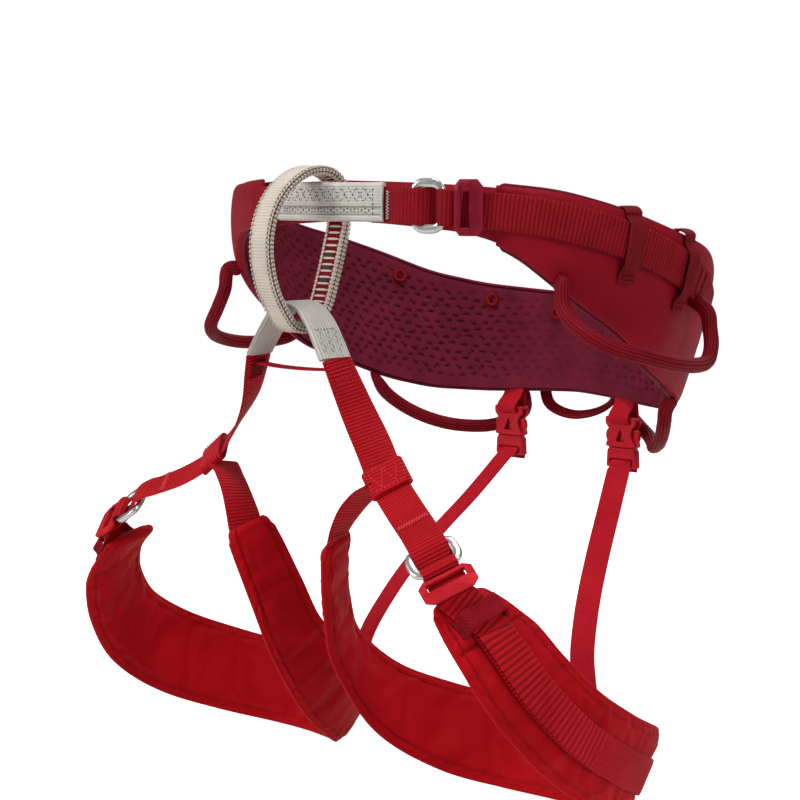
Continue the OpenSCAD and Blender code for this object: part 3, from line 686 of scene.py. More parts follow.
# ---- Elastic keepers ----
# Two bands of ribbed knit elastic wrap over the belt's top edge, hold the webbing's
# tail against the shell and are tacked down below it.
twill, twill_in, twill_out = group("twill_lines", [("Along", FLOAT, 1.0), ("Across", FLOAT, 1.0)],
                                   [("Height", FLOAT)])
slant_a, slant_b = thread_angles(twill, twill_in)
lines = math_node(twill, "SINE", math_node(twill, "ADD", slant_a, slant_b))
knots = math_node(twill, "SINE", math_node(twill, "SUBTRACT", slant_a, slant_b))
twill_height = math_node(twill, "MULTIPLY_ADD",
                         math_node(twill, "ADD", lines, math_node(twill, "MULTIPLY", knots, 0.5)), 0.33, 0.5)
twill.links.new(twill_height, twill_out.inputs["Height"])


def knit(name, light, dark, roughness, along, across_mm, depth):
    """Knitted or twilled elastic, with slanting lines."""
    material = shader(name, light, roughness, Specular_IOR_Level=0.06)[0]
    lines_node = add_group(material, twill, Along=along, Across=across_mm)
    shade = add_group(material, tone, Light=(*light, 1), Dark=(*dark, 1), Patch_Scale=60, Fleck=0.6)
    # Painted shade: the colour darkens in the low parts of the slanting lines.
    shade_hollows(material, shade.outputs["Color"], lines_node.outputs["Height"], 0.7, (0.3, 0.22, 0.22))
    add_bump(material, lines_node.outputs["Height"], 0.8, depth)
    return material


keeper_knit = knit("keeper_knit", (0.34, 0.016, 0.026), (0.18, 0.008, 0.013), 0.7, 2.8, 2.1, 0.35)
keeper_w, keeper_t = 9.4, 1.4


def keeper(label, t, lean, node):
    """Keeper at angle t that slants by lean degrees from the belt's top edge down to its tacked end."""
    zt, wt, wb = (look(t, table) for table in (belt_top, web_top, web_bottom))
    route = [(0, lining_in - 1.6, zt - 9), (0, lining_in - 1.5, zt - 1), (0.05, -7.5, zt + 1.7),
             (0.1, -2, zt + 1.6), (0.2, 1.6, zt - 0.6), (0.22, 1.6, (zt + wt) / 2 + 1), (0.3, 5.5, wt + 0.5),
             (0.6, 5.6, (wt + wb) / 2), (0.85, 5.3, wb - 0.5), (0.93, 1.8, wb - 5), (1, 1.7, wb - 10)]
    points = []
    for share, off, z in route:
        angle = t + lean * share
        v = height_at(angle, z)
        points.append(around(angle, off, z) if v > 1 else on_belt(angle, v, off))
    across_dir = (belt_a * math.cos(math.radians(t)), belt_b * math.sin(math.radians(t)), 0)
    band = Band(curve(points), across_dir)
    strap(label, band, keeper_w, keeper_t, keeper_knit, "root", "keeper_elastic", node, pitch=1.1, rib=0.08)
    low = band.length
    threads(f"{label}_tack", tack(band, low - 4.5, low - 1.5, -3.6, 3.6, 9, 0.8), 0.3, keeper_knit, "root",
            "keeper_elastic")


keeper("front_keeper", 74.5, -3, "keeper_front")
keeper("side_keeper", 94, -3, "keeper_side")

# ---- Upper tie-in ----
# A sleeve of off-white cloth is sewn round the waist webbing where the rope is tied.
# Its cords run lengthwise, its lower edge is piped, and black stitches cross it in diamonds.
ivory = cloth("ivory_cord_cloth", (0.83, 0.81, 0.75), (0.64, 0.62, 0.57), 0.75, (0.6, 0.5), 0.12,
              patch=90, fleck=0.5, keep=(0.56, 0.54, 0.50))
black_thread = shader("black_thread", (0.018, 0.016, 0.015), 0.6)[0]
sleeve_t = np.linspace(-11, 18, 90)
sleeve_mid = 43.3
sleeve_z = np.linspace(33.2, 53.4, 100)
rib_wave = 0.16 * (1 - np.abs(np.cos((sleeve_z - 33) * np.pi / 1.45)) ** 0.8)
crease = 0.9 * np.exp(-((sleeve_z - 40.6) / 0.55) ** 2)
piping = 0.5 * np.exp(-((sleeve_z - 35.0) / 1.2) ** 2) - 0.8 * np.exp(-((sleeve_z - 36.9) / 0.45) ** 2)
sleeve_rings = []
# Painted shade: the sleeve's colour darkens in its rib grooves, in the crease and under the piping.
sleeve_shade = np.concatenate([rib_wave / 0.16 * 0.55 + np.clip(crease, 0, 1) * 0.8
                               + np.clip(-piping, 0, 1) * 0.5, np.zeros(8)])
for t in sleeve_t:
    end = min(t + 11, 18 - t)
    frill = 0.15 * math.sin(t * 9) if end < 0.7 else 0
    roll = edge_roll((sleeve_z - 33.2) / 20.2, 0.09)
    wave = 0.12 * np.sin(t * 2.3 + sleeve_z * 0.6)
    front = 1.0 + (2.5 + wave + piping - crease - rib_wave) * roll
    back = 1.0 - 2.4 * edge_roll(np.linspace(0.98, 0.02, 8), 0.12)
    sleeve_rings.append(np.concatenate([around(t + frill, front, sleeve_z),
                                        around(t + frill, back, np.linspace(53, 33.6, 8))]))
sleeve_hollow = np.tile(sleeve_shade, (len(sleeve_rings), 1))
finish_piece(skin("tie_in_sleeve", sleeve_rings, sharp=75, hollow=sleeve_hollow), ivory, "root",
             "tie_in_fabric", "upper_tie_in")
sleeve_band = Band(around(sleeve_t, 3.55, sleeve_mid), (0, 0, 1))
zigzag_pitch = 10.0
sleeve_runs = []
for phase in (0, 1):
    corners = np.arange(0, sleeve_band.length - 6, zigzag_pitch / 2)
    upper = [(6 + s, 7.4 if (k + phase) % 2 else 0.2) for k, s in enumerate(corners)
             if s < sleeve_band.length - 10]
    lower = [(6 + s, -2.9 if (k + phase) % 2 else -5.6) for k, s in enumerate(corners)
             if s < sleeve_band.length - 10]
    sleeve_runs += dashes(sleeve_band, upper, 1.3, 1.1, 0.05)
    sleeve_runs += dashes(sleeve_band, lower, 1.3, 1.3, 0.05)
sleeve_runs += dashes(sleeve_band, [(sleeve_band.length - 6, -7), (sleeve_band.length - 6, 7)], 1.4, 1.0,
                      0.05)
threads("tie_in_stitches", sleeve_runs, 0.27, black_thread, "root", "tie_in_fabric")
end_runs = [r for e in (0.5, sleeve_band.length - 0.5)
            for r in tack(sleeve_band, e - 0.5, e + 0.5, -9.3, 9.3, 13, 0.0)]
threads("tie_in_end_stitches", end_runs, 0.38, ivory, "root", "tie_in_fabric")

# ---- Belay loop ----
# The strongest part: two layers of white webbing sewn into a ring with rows of chain
# stitch along both edges, over a red core that shows on the inside between white bars.
belay_ring = [(-146, -9), (-152, 5), (-154, 22), (-150, 38), (-140, 51), (-125, 59), (-110, 58.5),
              (-100, 49), (-99.5, 34), (-103.5, 18), (-108.5, 2), (-114, -12), (-123, -21.6), (-136, -21)]
belay_w, belay_t = 15.0, 4.4
wrapped = belay_ring[-2:] + belay_ring + belay_ring[:3]
ring_yz = curve(wrapped, 16)[2 * 16:-2 * 16 - 1]
belay_band = Band(np.column_stack([np.zeros(len(ring_yz)), ring_yz]), (1, 0, 0), loop=True)
belay = webbing("belay_loop_webbing", belay_band, belay_w, belay_t, pitch=1.6, rib=0.16, loop=True)
belay_white = cloth("belay_nylon_white", (0.86, 0.79, 0.70), (0.68, 0.61, 0.53), 0.7, (0.5, 0.6), 0.1,
                    patch=80, fleck=0.5, keep=(0.62, 0.56, 0.50))
belay_red = cloth("belay_core_red", (0.33, 0.010, 0.026), (0.20, 0.006, 0.016), 0.65, (0.7, 0.5), 0.12,
                  patch=90, fleck=0.8)
# Painted shadow: the loop's edge columns take a brown-red colour for the shade in the gaps between the white
# chain stitches.
belay_edge_shadow = cloth("belay_edge_painted_shadow", (0.30, 0.16, 0.13), (0.16, 0.07, 0.06), 0.8, (0.7, 0.5), 0.12)
belay_grey = cloth("belay_mark_grey", (0.10, 0.115, 0.105), (0.06, 0.07, 0.065), 0.8, (0.7, 0.5), 0.12)
for part in (belay_white, belay_red, belay_edge_shadow):
    belay.data.materials.append(part)
faces_round = 24    # 12 across the inside of the loop, then 12 across its outside
# Faces along both edges, which take the painted shadow.
shaded_edge_faces = (0, 1, 10, 11, 12, 13, 22, 23)
for index, polygon in enumerate(belay.data.polygons):
    column = index % faces_round
    if 3 <= column < 9:
        polygon.material_index = 1
    elif column in shaded_edge_faces:
        polygon.material_index = 2
finish_piece(belay, None, "belay_loop", "belay_webbing", "belay_loop")
bar_step, bar_half = 3.5, 4.7
bars = [belay_band.at(np.full(5, s), np.linspace(-bar_half, bar_half, 5),
                      belay_t / 2 + np.array([-0.3, 0.12, 0.18, 0.12, -0.3]))
        for s in np.arange(2, belay_band.length - 1, bar_step)]
threads("belay_bars", bars, 0.68, belay_white, "belay_loop", "belay_webbing")
mark_s = [2 + bar_step * (round(belay_band.length * 0.65 / bar_step) + 2 * k + 0.5) for k in range(3)]
marks = [m for s in mark_s for m in tack(belay_band, s - 1.2, s + 1.2, -2.3, 2.3, 8, belay_t / 2 + 0.15)]
threads("belay_marks", marks, 0.36, belay_grey, "belay_loop", "belay_webbing")
chain, holes = [], []
chain_step = 2.3
for edge_side in (-1, 1):
    rows = [(5.0, -2.15, 0), (7.0, -1.75, 0.5), (7.55, -0.1, 1), (7.0, 1.55, 0.5), (5.6, 2.1, 0)]
    for x, h, turn in rows:
        for s in np.arange(0, belay_band.length - 1, chain_step):
            for leg in (-1, 1):
                chain.append(belay_band.at(s + np.array([0.1, 0.9, 2.1]),
                                           edge_side * (x - np.array([1, 0.8, 0.1]) * 0.5 * leg * (1 - turn)),
                                           h + np.array([1, 0.8, 0.1]) * 0.55 * leg * turn))
    # Painted shade: short near-black marks on the underside stand for the shade in the stitch holes.
    for s in np.arange(0.4, belay_band.length - 1, chain_step):
        holes.append(belay_band.at(s + np.array([0, 0.6, 1.2]), edge_side * 6.05, -belay_t / 2 + 0.2))
threads("belay_chain_stitches", chain, 0.41, belay_white, "belay_loop", "belay_webbing")
threads("belay_hole_shade", holes, 0.34, shader("hole_shade_dark", (0.05, 0.035, 0.03), 0.7)[0], "belay_loop",
        "belay_webbing")

# ---- Lower tie-in ----
# A short arch of the same off-white cloth joins the two leg straps. The belay loop
# runs through it. Its feet are sewn to the straps with black zigzags.
arch = [(0, -129, -9.6), (9, -129, -11.8), (17, -129.3, -19), (24, -130, -28.5), (29.5, -130.5, -37)]
arch_across = [(0, 1, 0), (0.02, 1, 0), (0.04, 0.99, 0.05), (0.06, 0.98, 0.1), (0.06, 0.98, 0.12)]
half_arch, half_across = curve(arch), curve(arch_across)
flip_x = np.array([-1, 1, 1])
arch_band = Band(np.vstack([half_arch[:0:-1] * flip_x, half_arch]),
                 np.vstack([half_across[:0:-1] * flip_x, half_across]))
strap("tie_in_arch", arch_band, web_w, 3.6, ivory, "root", "tie_in_fabric", "lower_tie_in", pitch=1.2,
      rib=0.04, cords=11, cord=0.4)
arch_runs = []
for s0, s1 in ((2.5, 17), (arch_band.length - 17, arch_band.length - 2.5)):
    for x0 in (-6.5, -1.5, 3.5):
        k = np.linspace(s0, s1, 8)
        arch_runs += dashes(arch_band, [(s, x0 + (3.2 if i % 2 else 0)) for i, s in enumerate(k)], 1.2,
                            0.9, 1.72)
    arch_runs += dashes(arch_band, [(s0, -8), (s0, 8)], 1.3, 0.8, 1.72)
threads("arch_stitches", arch_runs, 0.24, black_thread, "root", "tie_in_fabric")

# ---- Leg straps ----
# Bright red webbing runs from the arch through a sewn sleeve to the leg buckle, and a
# second strap turns down inside the thigh. A thin elastic keeps the two sides together.
leg_red = cloth("leg_webbing_nylon", (0.72, 0.013, 0.024), (0.48, 0.006, 0.012), 0.45, (0.45, 0.9), 0.10,
                patch=50, fleck=0.8, Specular_IOR_Level=0.13, Specular_Tint=(1, 0.4, 0.4, 1))
leg_bright = cloth("leg_thread_bright", (0.85, 0.07, 0.09), (0.6, 0.04, 0.05), 0.5, (0.5, 0.5), 0.0)
leg_dark = cloth("leg_thread_dark", (0.22, 0.006, 0.012), (0.13, 0.004, 0.008), 0.55, (0.5, 0.5), 0.0)
leg_buckle = np.array([118, -149, -126.5])
leg_along = unit(np.array([0.80, -0.28, -0.53]))
leg_side = np.array([0.5, 0.72, 0.45])
leg_side = unit(leg_side - (leg_side @ leg_along) * leg_along)
leg_up = np.cross(leg_along, leg_side)
bar_lift = rod_d / 2 + gap + web_t / 2


def at_buckle(x, z):
    """Place x along the leg strap from its buckle's middle and z above it."""
    return tuple(leg_buckle + x * leg_along + z * leg_up)


riser = [(30, -130.2, -36.5), (34, -128.8, -46), (42, -126.5, -63), (54, -127, -80), (67.5, -130.5, -96),
         (84, -136, -107), at_buckle(-22, 0.5), at_buckle(-14, bar_lift), at_buckle(-5, bar_lift),
         at_buckle(4, -bar_lift), at_buckle(14, -bar_lift - 0.2)]
riser_across = [(0.06, 0.98, 0.12), (0.12, 0.96, 0.18), (0.28, 0.9, 0.3), (0.48, 0.78, 0.4),
                (0.58, 0.68, 0.45), (0.57, 0.66, 0.47)] + [tuple(leg_side)] * 5
riser_band = Band(curve(riser), curve(riser_across))
junction_mid = np.array([67.5, -130.5, -95])
junction_half = unit(np.array((31, -9, -27.5))) * 8
junction_band = Band([junction_mid - junction_half, junction_mid, junction_mid + junction_half],
                     (0.6, 0.66, 0.45))
inner_points = [(62, -130, -98.5), (54, -132, -104), (46, -134, -112), (39, -135.5, -123), (35.5, -136, -132)]
inner_across = [(0.5, 0.7, 0.3), (0.35, 0.85, 0.2), (0.1, 0.97, 0.1), (-0.25, 0.95, -0.1),
                (-0.35, 0.93, -0.15)]
inner_band = Band(curve(inner_points), curve(inner_across))
buckle_s = riser_band.s[len(riser_band.s) // 10 * 6]
both_sides = (("left", False), ("right", True))
for name_side, mirror in both_sides:
    strap(f"leg_riser_{name_side}", riser_band, web_w - 0.6, web_t, leg_red, "root", "leg_webbing",
          f"riser_{name_side}", pitch=1.9, mirror=mirror)
    side = -1 if mirror else 1
    patch = [run for s in np.arange(4, 16, 2.4)
             for run in dashes(riser_band, [(s, -6.5), (s, 6.5)], 1.6, 0.7, 0.9 * side)]
    if mirror:
        patch += tack(riser_band, 5, 15, -5, 5, 12, -0.95)
    threads(f"riser_patch_{name_side}", patch, 0.24, leg_dark if mirror else leg_bright, "root",
            "leg_webbing", mirror)
    above = buckle_s - 6
    zig = tack(riser_band, above, above + 3.5, -8.5, 8.5, 12, 0.95)
    threads(f"riser_buckle_tack_{name_side}", zig, 0.26, leg_bright, "root", "leg_webbing", mirror)
    sleeve = webbing(f"junction_sleeve_{name_side}", junction_band, web_w + 3, 6.0, pitch=2.1, rib=0.22,
                     mirror=mirror)
    finish_piece(sleeve, leg_red, "root", "leg_webbing", f"junction_{name_side}")
    w_line = [(2.5, -8), (13.5, -4), (2.5, 0), (13.5, 4), (2.5, 8)]
    w_runs = dashes(junction_band, w_line, 1.6, 0.7, 2.95)
    w_runs += dashes(junction_band, [(1.6, -9.4), (14.4, -9.4), (14.4, 9.4), (1.6, 9.4), (1.6, -9.4)],
                     1.6, 0.7, 2.9)
    threads(f"junction_stitches_{name_side}", w_runs, 0.27, leg_bright, "root", "leg_webbing", mirror)
    strap(f"inner_leg_strap_{name_side}", inner_band, web_w, web_t, leg_red, "root", "leg_webbing",
          f"inner_strap_{name_side}", pitch=1.9, mirror=mirror)
    threads(f"inner_strap_stitches_{name_side}",
            dashes(inner_band, [(inner_band.length - 6, -9), (inner_band.length - 6, 9)], 1.6, 0.8, 0.9),
            0.25, leg_dark, "root", "leg_webbing", mirror)
    wrap = [at_buckle(x, z) for x, z in ((5.3, -0.4), (5.5, 1.4), (6.6, 2.75), (8.3, 3.0), (10.0, 2.75),
                                         (11.0, 1.2))]
    strap(f"leg_buckle_wrap_{name_side}", Band(curve(wrap), leg_side), web_w - 1, web_t, leg_red,
          f"leg_frame_{name_side}", "leg_webbing", pitch=1.9, mirror=mirror)
    through = [at_buckle(x, z) for x, z in ((10.8, -1.6), (13.5, -2.15), (17, -2.1), (20.5, -2.5),
                                            (24.5, -4.2))]
    strap(f"leg_plate_strap_{name_side}", Band(curve(through), leg_side), web_w - 0.4, web_t, leg_red,
          "root", "leg_webbing", pitch=1.9, mirror=mirror)
bridge_points = [(-31, -129, -42.5), (-15, -130.5, -43.2), (0, -131, -43.4), (15, -130.5, -43.2),
                 (31, -129, -42.5)]
elastic_red = knit("elastic_strap_red", (0.78, 0.018, 0.038), (0.58, 0.010, 0.022), 0.6, 0.9, 0.7, 0.10)
strap("leg_bridge_elastic", Band(curve(bridge_points), (0, 1, 0)), 8, 1.4, elastic_red, "root",
      "elastic_strap", "leg_bridge", pitch=1.0, rib=0.08)

# ---- Leg pads ----
# Each thigh band is foam in bright satin cloth, bound along its edges, with a seam
# across it near the buckle. The adjusting webbing is sewn along its outside.
pad_t = 6.0
thigh = [(126.5, -142, -145.5), (139.5, -140.8, -156), (152, -137, -169), (163, -127, -189),
         (172, -107, -212),
         (173, -76, -232), (161, -44, -246), (134, -22, -254), (98, -17, -256), (62, -28, -253),
         (38, -54, -243), (24, -86, -224), (20, -113, -194), (23.5, -124, -168), (30, -131.5, -144),
         (35.5, -135.5, -129)]
thigh_across = [(0.05, 0.95, 0.2), (0.2, 0.95, 0.2), (0.25, 0.93, 0.2), (0.22, 0.9, 0.33), (0.12, 0.8, 0.55),
                (0, 0.7, 0.7), (-0.05, 0.65, 0.75), (-0.05, 0.65, 0.75), (-0.06, 0.65, 0.75),
                (-0.08, 0.65, 0.75), (-0.1, 0.68, 0.72), (-0.18, 0.8, 0.5), (-0.32, 0.92, 0.15),
                (-0.4, 0.9, -0.05), (-0.4, 0.9, -0.12), (-0.38, 0.92, -0.15)]
thigh_w = [34, 42, 47, 48, 49, 50, 50, 50, 50, 50, 48, 42, 33, 30, 28, 26]
pad_satin = cloth("leg_pad_satin", (0.55, 0.006, 0.012), (0.36, 0.003, 0.006), 0.55, (0.35, 0.35), 0.02,
                  crease=0.9, keep=(0.5, 0.4, 0.4), Specular_IOR_Level=0.10, Specular_Tint=(1, 0.4, 0.4, 1))
pad_band = Band(curve(thigh, 12), curve(thigh_across, 12))
pad_width = curve(thigh_w, 12)
seam_across = [26.0, 250.0, 430.0]
seam_inset = 4.2


def pad_shape(stations, columns, detail):
    """Rings of the thigh pad, how deep its grooves are, and how firmly each point is sewn.
    detail adds the stitched grooves and the soft waves of the foam."""
    x0 = np.sin(np.linspace(-np.pi / 2, np.pi / 2, columns))
    rings, hollow, sewn = [], [], []
    for s in stations:
        end = min(s, pad_band.length - s)
        tuck = math.sqrt(max(1 - (1 - min(end / 7, 1)) ** 2, 0.0))
        half_w = np.interp(s, pad_band.s, pad_width) / 2 * (0.80 + 0.20 * tuck)
        x = x0 * half_w
        inset = half_w - np.abs(x)
        body_h = pad_t / 2 * np.clip(1 - np.abs(x0) ** 5, 0, 1) ** 0.5
        groove = 0.8 * np.exp(-((inset - seam_inset) / 0.6) ** 2)
        hold = np.clip(1.2 - inset / 3.0, 0, 1)
        for cut in seam_across:
            groove = np.maximum(groove, 0.9 * math.exp(-((s - cut) / 0.8) ** 2) * np.clip(inset / 3, 0, 1))
            hold = np.maximum(hold, 1.0 if abs(s - cut) < 1.7 else 0.0)
        hold = np.maximum(hold, 1.0 if end < 3 else 0.0)
        pucker = 0.22 * np.sin(s / 2.6) * np.exp(-((inset - seam_inset) / 3.0) ** 2)
        soft = 0.35 * math.sin(s / 17.0) * np.cos(x0 * 1.5) + 0.2 * np.sin(s / 9.0 + 2.5 * x0)
        change = (pucker + np.minimum(soft, 0.1)) * tuck - groove if detail else 0.0
        under = soft * 0.5 - groove * 0.7 if detail else 0.0
        floor_h = 0.4 * (body_h > 0)
        top = np.maximum(body_h * (0.35 + 0.65 * tuck) + change, floor_h)
        low = np.maximum(body_h * (0.35 + 0.65 * tuck) + under, floor_h)
        rings.append(np.concatenate([pad_band.at(s, x, top),
                                     pad_band.at(s, x[1:-1][::-1], -low[1:-1][::-1])]))
        # Painted shade: the stitched grooves are darkened in colour.
        hollow.append(np.concatenate([groove, groove[1:-1][::-1]]))
        under_web = np.where((np.abs(x) < web_w / 2 + 1) & (s > 24) & (s < 285), 1.0, hold)
        sewn.append(np.concatenate([under_web, hold[1:-1][::-1]]))
    return np.array(rings), np.array(hollow), np.array(sewn)


def puff(rings, sewn, cap, pressure):
    """Cloth simulation of a padded skin, swollen from inside; points stay where they are sewn.
    Returns how far each point moves, in millimetres, and no further than cap."""
    trial = skin("foam_trial", rings)
    held = trial.vertex_groups.new(name="sewn")
    for index, weight in enumerate(sewn.ravel()):
        if weight > 0:
            held.add([index], float(weight), "REPLACE")
    foam = trial.modifiers.new("foam", "CLOTH")
    foam.settings.vertex_group_mass = "sewn"
    foam.settings.mass = 0.1
    foam.settings.use_pressure = True
    foam.settings.uniform_pressure_force = pressure
    foam.settings.shrink_min = -0.025
    foam.settings.bending_stiffness = 0.2
    foam.settings.effector_weights.gravity = 0
    foam.point_cache.frame_start, foam.point_cache.frame_end = 1, foam_steps
    for step in range(1, foam_steps + 1):
        bpy.context.scene.frame_set(step)
    settled = trial.evaluated_get(bpy.context.evaluated_depsgraph_get()).to_mesh()
    places = np.empty(rings.size)
    settled.vertices.foreach_get("co", places)
    shift = places.reshape(rings.shape) / MM - rings
    bpy.data.objects.remove(trial)
    bpy.context.scene.frame_set(1)
    far = np.linalg.norm(shift, axis=2, keepdims=True)
    return shift * np.minimum(1, cap / np.maximum(far, 1e-6))


foam_steps, foam_cap, foam_pressure = 20, 1.5, 4.0
coarse_s = np.linspace(0, pad_band.length, int(pad_band.length / 3.2))
pad_s = np.linspace(0, pad_band.length, 2 * len(coarse_s) - 1)
plain_rings, _, pad_sewn = pad_shape(coarse_s, 21, False)
pad_shift = puff(plain_rings, pad_sewn, foam_cap, foam_pressure)
pad_rings, pad_hollow, _ = pad_shape(pad_s, 41, True)
fine_columns = np.arange(pad_rings.shape[1]) / 2
wrapped_shift = np.concatenate([pad_shift, pad_shift[:, :1]], 1)
for k in range(3):
    along_pad = np.array([np.interp(pad_s, coarse_s, column) for column in wrapped_shift[:, :, k].T]).T
    pad_rings[:, :, k] += np.array([np.interp(fine_columns, np.arange(len(row)), row) for row in along_pad])
leg_knit = knit("leg_keeper_knit", (0.46, 0.012, 0.022), (0.30, 0.007, 0.014), 0.7, 2.8, 2.1, 0.35)
leg_web_top = pad_t / 2 + 3 * gap + web_t / 2


def pad_strap_band(first, last, lift, count=80):
    """Band that lies lift above the leg pad's middle line between two distances along it."""
    s = np.linspace(first, last, count)
    points = pad_band.at(s, 0, lift)
    return Band(points, pad_band.at(s, 1, lift) - points)


def step_s(i):
    """Distance along the pad of the frame's step i, three to each thigh point."""
    return pad_band.s[min(int(i * 4), len(pad_band.s) - 1)]


leg_web_band = pad_strap_band(step_s(4), step_s(24), leg_web_top)
tail_lift = pad_t / 2 + 5 * gap + 1.5 * web_t
tail_s = np.array([step_s(i) for i in range(4, 14)])
tail_points = np.vstack([[at_buckle(16, -bar_lift), at_buckle(22, -4.2)], pad_band.at(tail_s, 0, tail_lift)])
tail_across = np.vstack([leg_side, leg_side, pad_band.at(tail_s, 1, 0) - pad_band.at(tail_s, 0, 0)])
leg_tail_band = Band(curve(tail_points), curve(tail_across))
keeper_at = step_s(3)
keeper_low, keeper_top = pad_t / 2 + gap + 0.8, pad_t / 2 + 7 * gap + 2 * web_t + 2.6
keeper_route = [(-15, keeper_low), (-12.4, keeper_low + 0.2), (-11.3, (keeper_low + keeper_top) / 2),
                (-10.2, keeper_top), (0, keeper_top + 0.2), (10.2, keeper_top),
                (11.3, (keeper_low + keeper_top) / 2), (12.4, keeper_low + 0.2), (15, keeper_low)]
keeper_points = np.array([pad_band.at(keeper_at, x, h) for x, h in keeper_route])
leg_keeper_band = Band(curve(keeper_points),
                       pad_band.at(keeper_at + 2, 0, 0) - pad_band.at(keeper_at - 2, 0, 0))
for name_side, mirror in both_sides:
    pad = skin(f"thigh_pad_{name_side}", pad_rings, mirror=mirror, sharp=75, hollow=pad_hollow)
    finish_piece(pad, pad_satin, "root", "leg_fabric", f"leg_pad_{name_side}")
    for edge_side in (-1, 1):
        s = np.arange(4, pad_band.length - 4, 2.5)
        half_w = np.interp(s, pad_band.s, pad_width) / 2
        rim = Band(pad_band.at(s, edge_side * (half_w - 0.4), 0), (0, 0, 1))
        piece = skin(f"thigh_pad_edge_{name_side}_{'front' if edge_side < 0 else 'back'}",
                     cord_rings(rim, 1.35, 2.5), mirror=mirror, sharp=80)
        finish_piece(piece, pad_satin, "root", "leg_fabric")
    strap(f"thigh_webbing_{name_side}", leg_web_band, web_w, web_t, leg_red, "root", "leg_webbing",
          f"leg_web_{name_side}", pitch=1.9, mirror=mirror)
    strap(f"thigh_tail_{name_side}", leg_tail_band, web_w - 1, web_t, leg_red, "root", "leg_webbing",
          f"leg_tail_{name_side}", pitch=3.0, rib=0.45, mirror=mirror)
    strap(f"thigh_keeper_{name_side}", leg_keeper_band, 11.0, 1.2, leg_knit, "root", "keeper_elastic",
          f"leg_keeper_{name_side}", pitch=1.1, rib=0.06, mirror=mirror)

# ---- Buckles ----
# Each buckle is a polished steel ring and a flat aluminium plate, anodised raspberry at
# the waist and red at the legs. The webbing runs over and under them and locks when it
# is pulled.
frame_w, frame_l = 28.0, 20.0


def oval(angles, a, b, power):
    """Rounded oblong: distance from the middle at each angle."""
    return (np.abs(np.cos(angles) / a) ** power + np.abs(np.sin(angles) / b) ** power) ** (-1 / power)


def many_sided(angles, corners):
    """Distance from the middle to the outline of a convex polygon at each angle."""
    reach = np.full(len(angles), 1e9)
    rays = np.stack([np.cos(angles), np.sin(angles)], 1)
    for p, q in zip(corners, corners[1:] + corners[:1]):
        normal = np.array([q[1] - p[1], p[0] - q[0]])
        towards = rays @ normal
        reach = np.where(towards > 1e-9,
                         np.minimum(reach, (normal @ np.array(p)) / np.maximum(towards, 1e-9)), reach)
    return reach


def ring_piece(name, outer, inner, angles, profile, place, mirror=False, sharp=40):
    """Closed ring between two outlines; profile gives (share of the way out, height) round its section."""
    origin, dx, dy, dz = place
    rings = []
    for a, ro, ri in zip(angles, outer, inner):
        ray = dx * math.cos(a) + dy * math.sin(a)
        rings.append([origin + ray * (ri + (ro - ri) * f) + dz * h for f, h in profile])
    return skin(name, rings, loop=True, mirror=mirror, sharp=sharp)


def placed(origin, dx, dy, along=0.0, up=0.0):
    """Origin and three square directions: dx, then dy made square to it, then the way out."""
    dx = unit(np.array(dx, float))
    dy = unit(np.array(dy, float) - (np.array(dy, float) @ dx) * dx)
    dz = np.cross(dx, dy)
    return np.array(origin) + dx * along + dz * up, dx, dy, dz


steel, steel_nodes, steel_links, steel_shader = shader("polished_steel", (0.66, 0.65, 0.63), 0.24,
                                                       Metallic=1.0)
scratches = noise(steel.node_tree, 260, detail=6)
steel_place = steel_nodes.new("ShaderNodeMapping")
steel_place.inputs["Scale"].default_value = (1, 1, 0.08)
steel_links.new(scratches.inputs["Vector"].links[0].from_socket, steel_place.inputs["Vector"])
steel_links.new(steel_place.outputs["Vector"], scratches.inputs["Vector"])
steel_rough = steel_nodes.new("ShaderNodeMapRange")
steel_rough.inputs["To Min"].default_value = 0.22
steel_rough.inputs["To Max"].default_value = 0.36
steel_links.new(scratches.outputs["Fac"], steel_rough.inputs["Value"])
steel_links.new(steel_rough.outputs["Result"], steel_shader.inputs["Roughness"])
add_bump(steel, scratches.outputs["Fac"], 0.05, 0.03)


def anodised(name, color, edge_highlight):
    """Anodised aluminium: fine grain, and a painted highlight, a lighter line along its corners."""
    material, nodes, links, principled = shader(name, color, 0.46, Metallic=0.15, Specular_IOR_Level=0.16,
                                                Specular_Tint=(1, 0.45, 0.5, 1))
    grain = noise(material.node_tree, 1800)
    # Painted highlight: the plate's corners, found by their pointiness, are coloured lighter.
    edge_highlight_mask = nodes.new("ShaderNodeMapRange")
    edge_highlight_mask.inputs["From Min"].default_value = 0.52
    edge_highlight_mask.inputs["From Max"].default_value = 0.60
    links.new(nodes.new("ShaderNodeNewGeometry").outputs["Pointiness"], edge_highlight_mask.inputs["Value"])
    mix = nodes.new("ShaderNodeMix")
    mix.data_type = "RGBA"
    mix.inputs["A"].default_value = (*color, 1)
    mix.inputs["B"].default_value = (*edge_highlight, 1)
    links.new(edge_highlight_mask.outputs["Result"], mix.inputs["Factor"])
    links.new(mix.outputs["Result"], principled.inputs["Base Color"])
    add_bump(material, grain.outputs["Fac"], 0.25, 0.03)
    return material


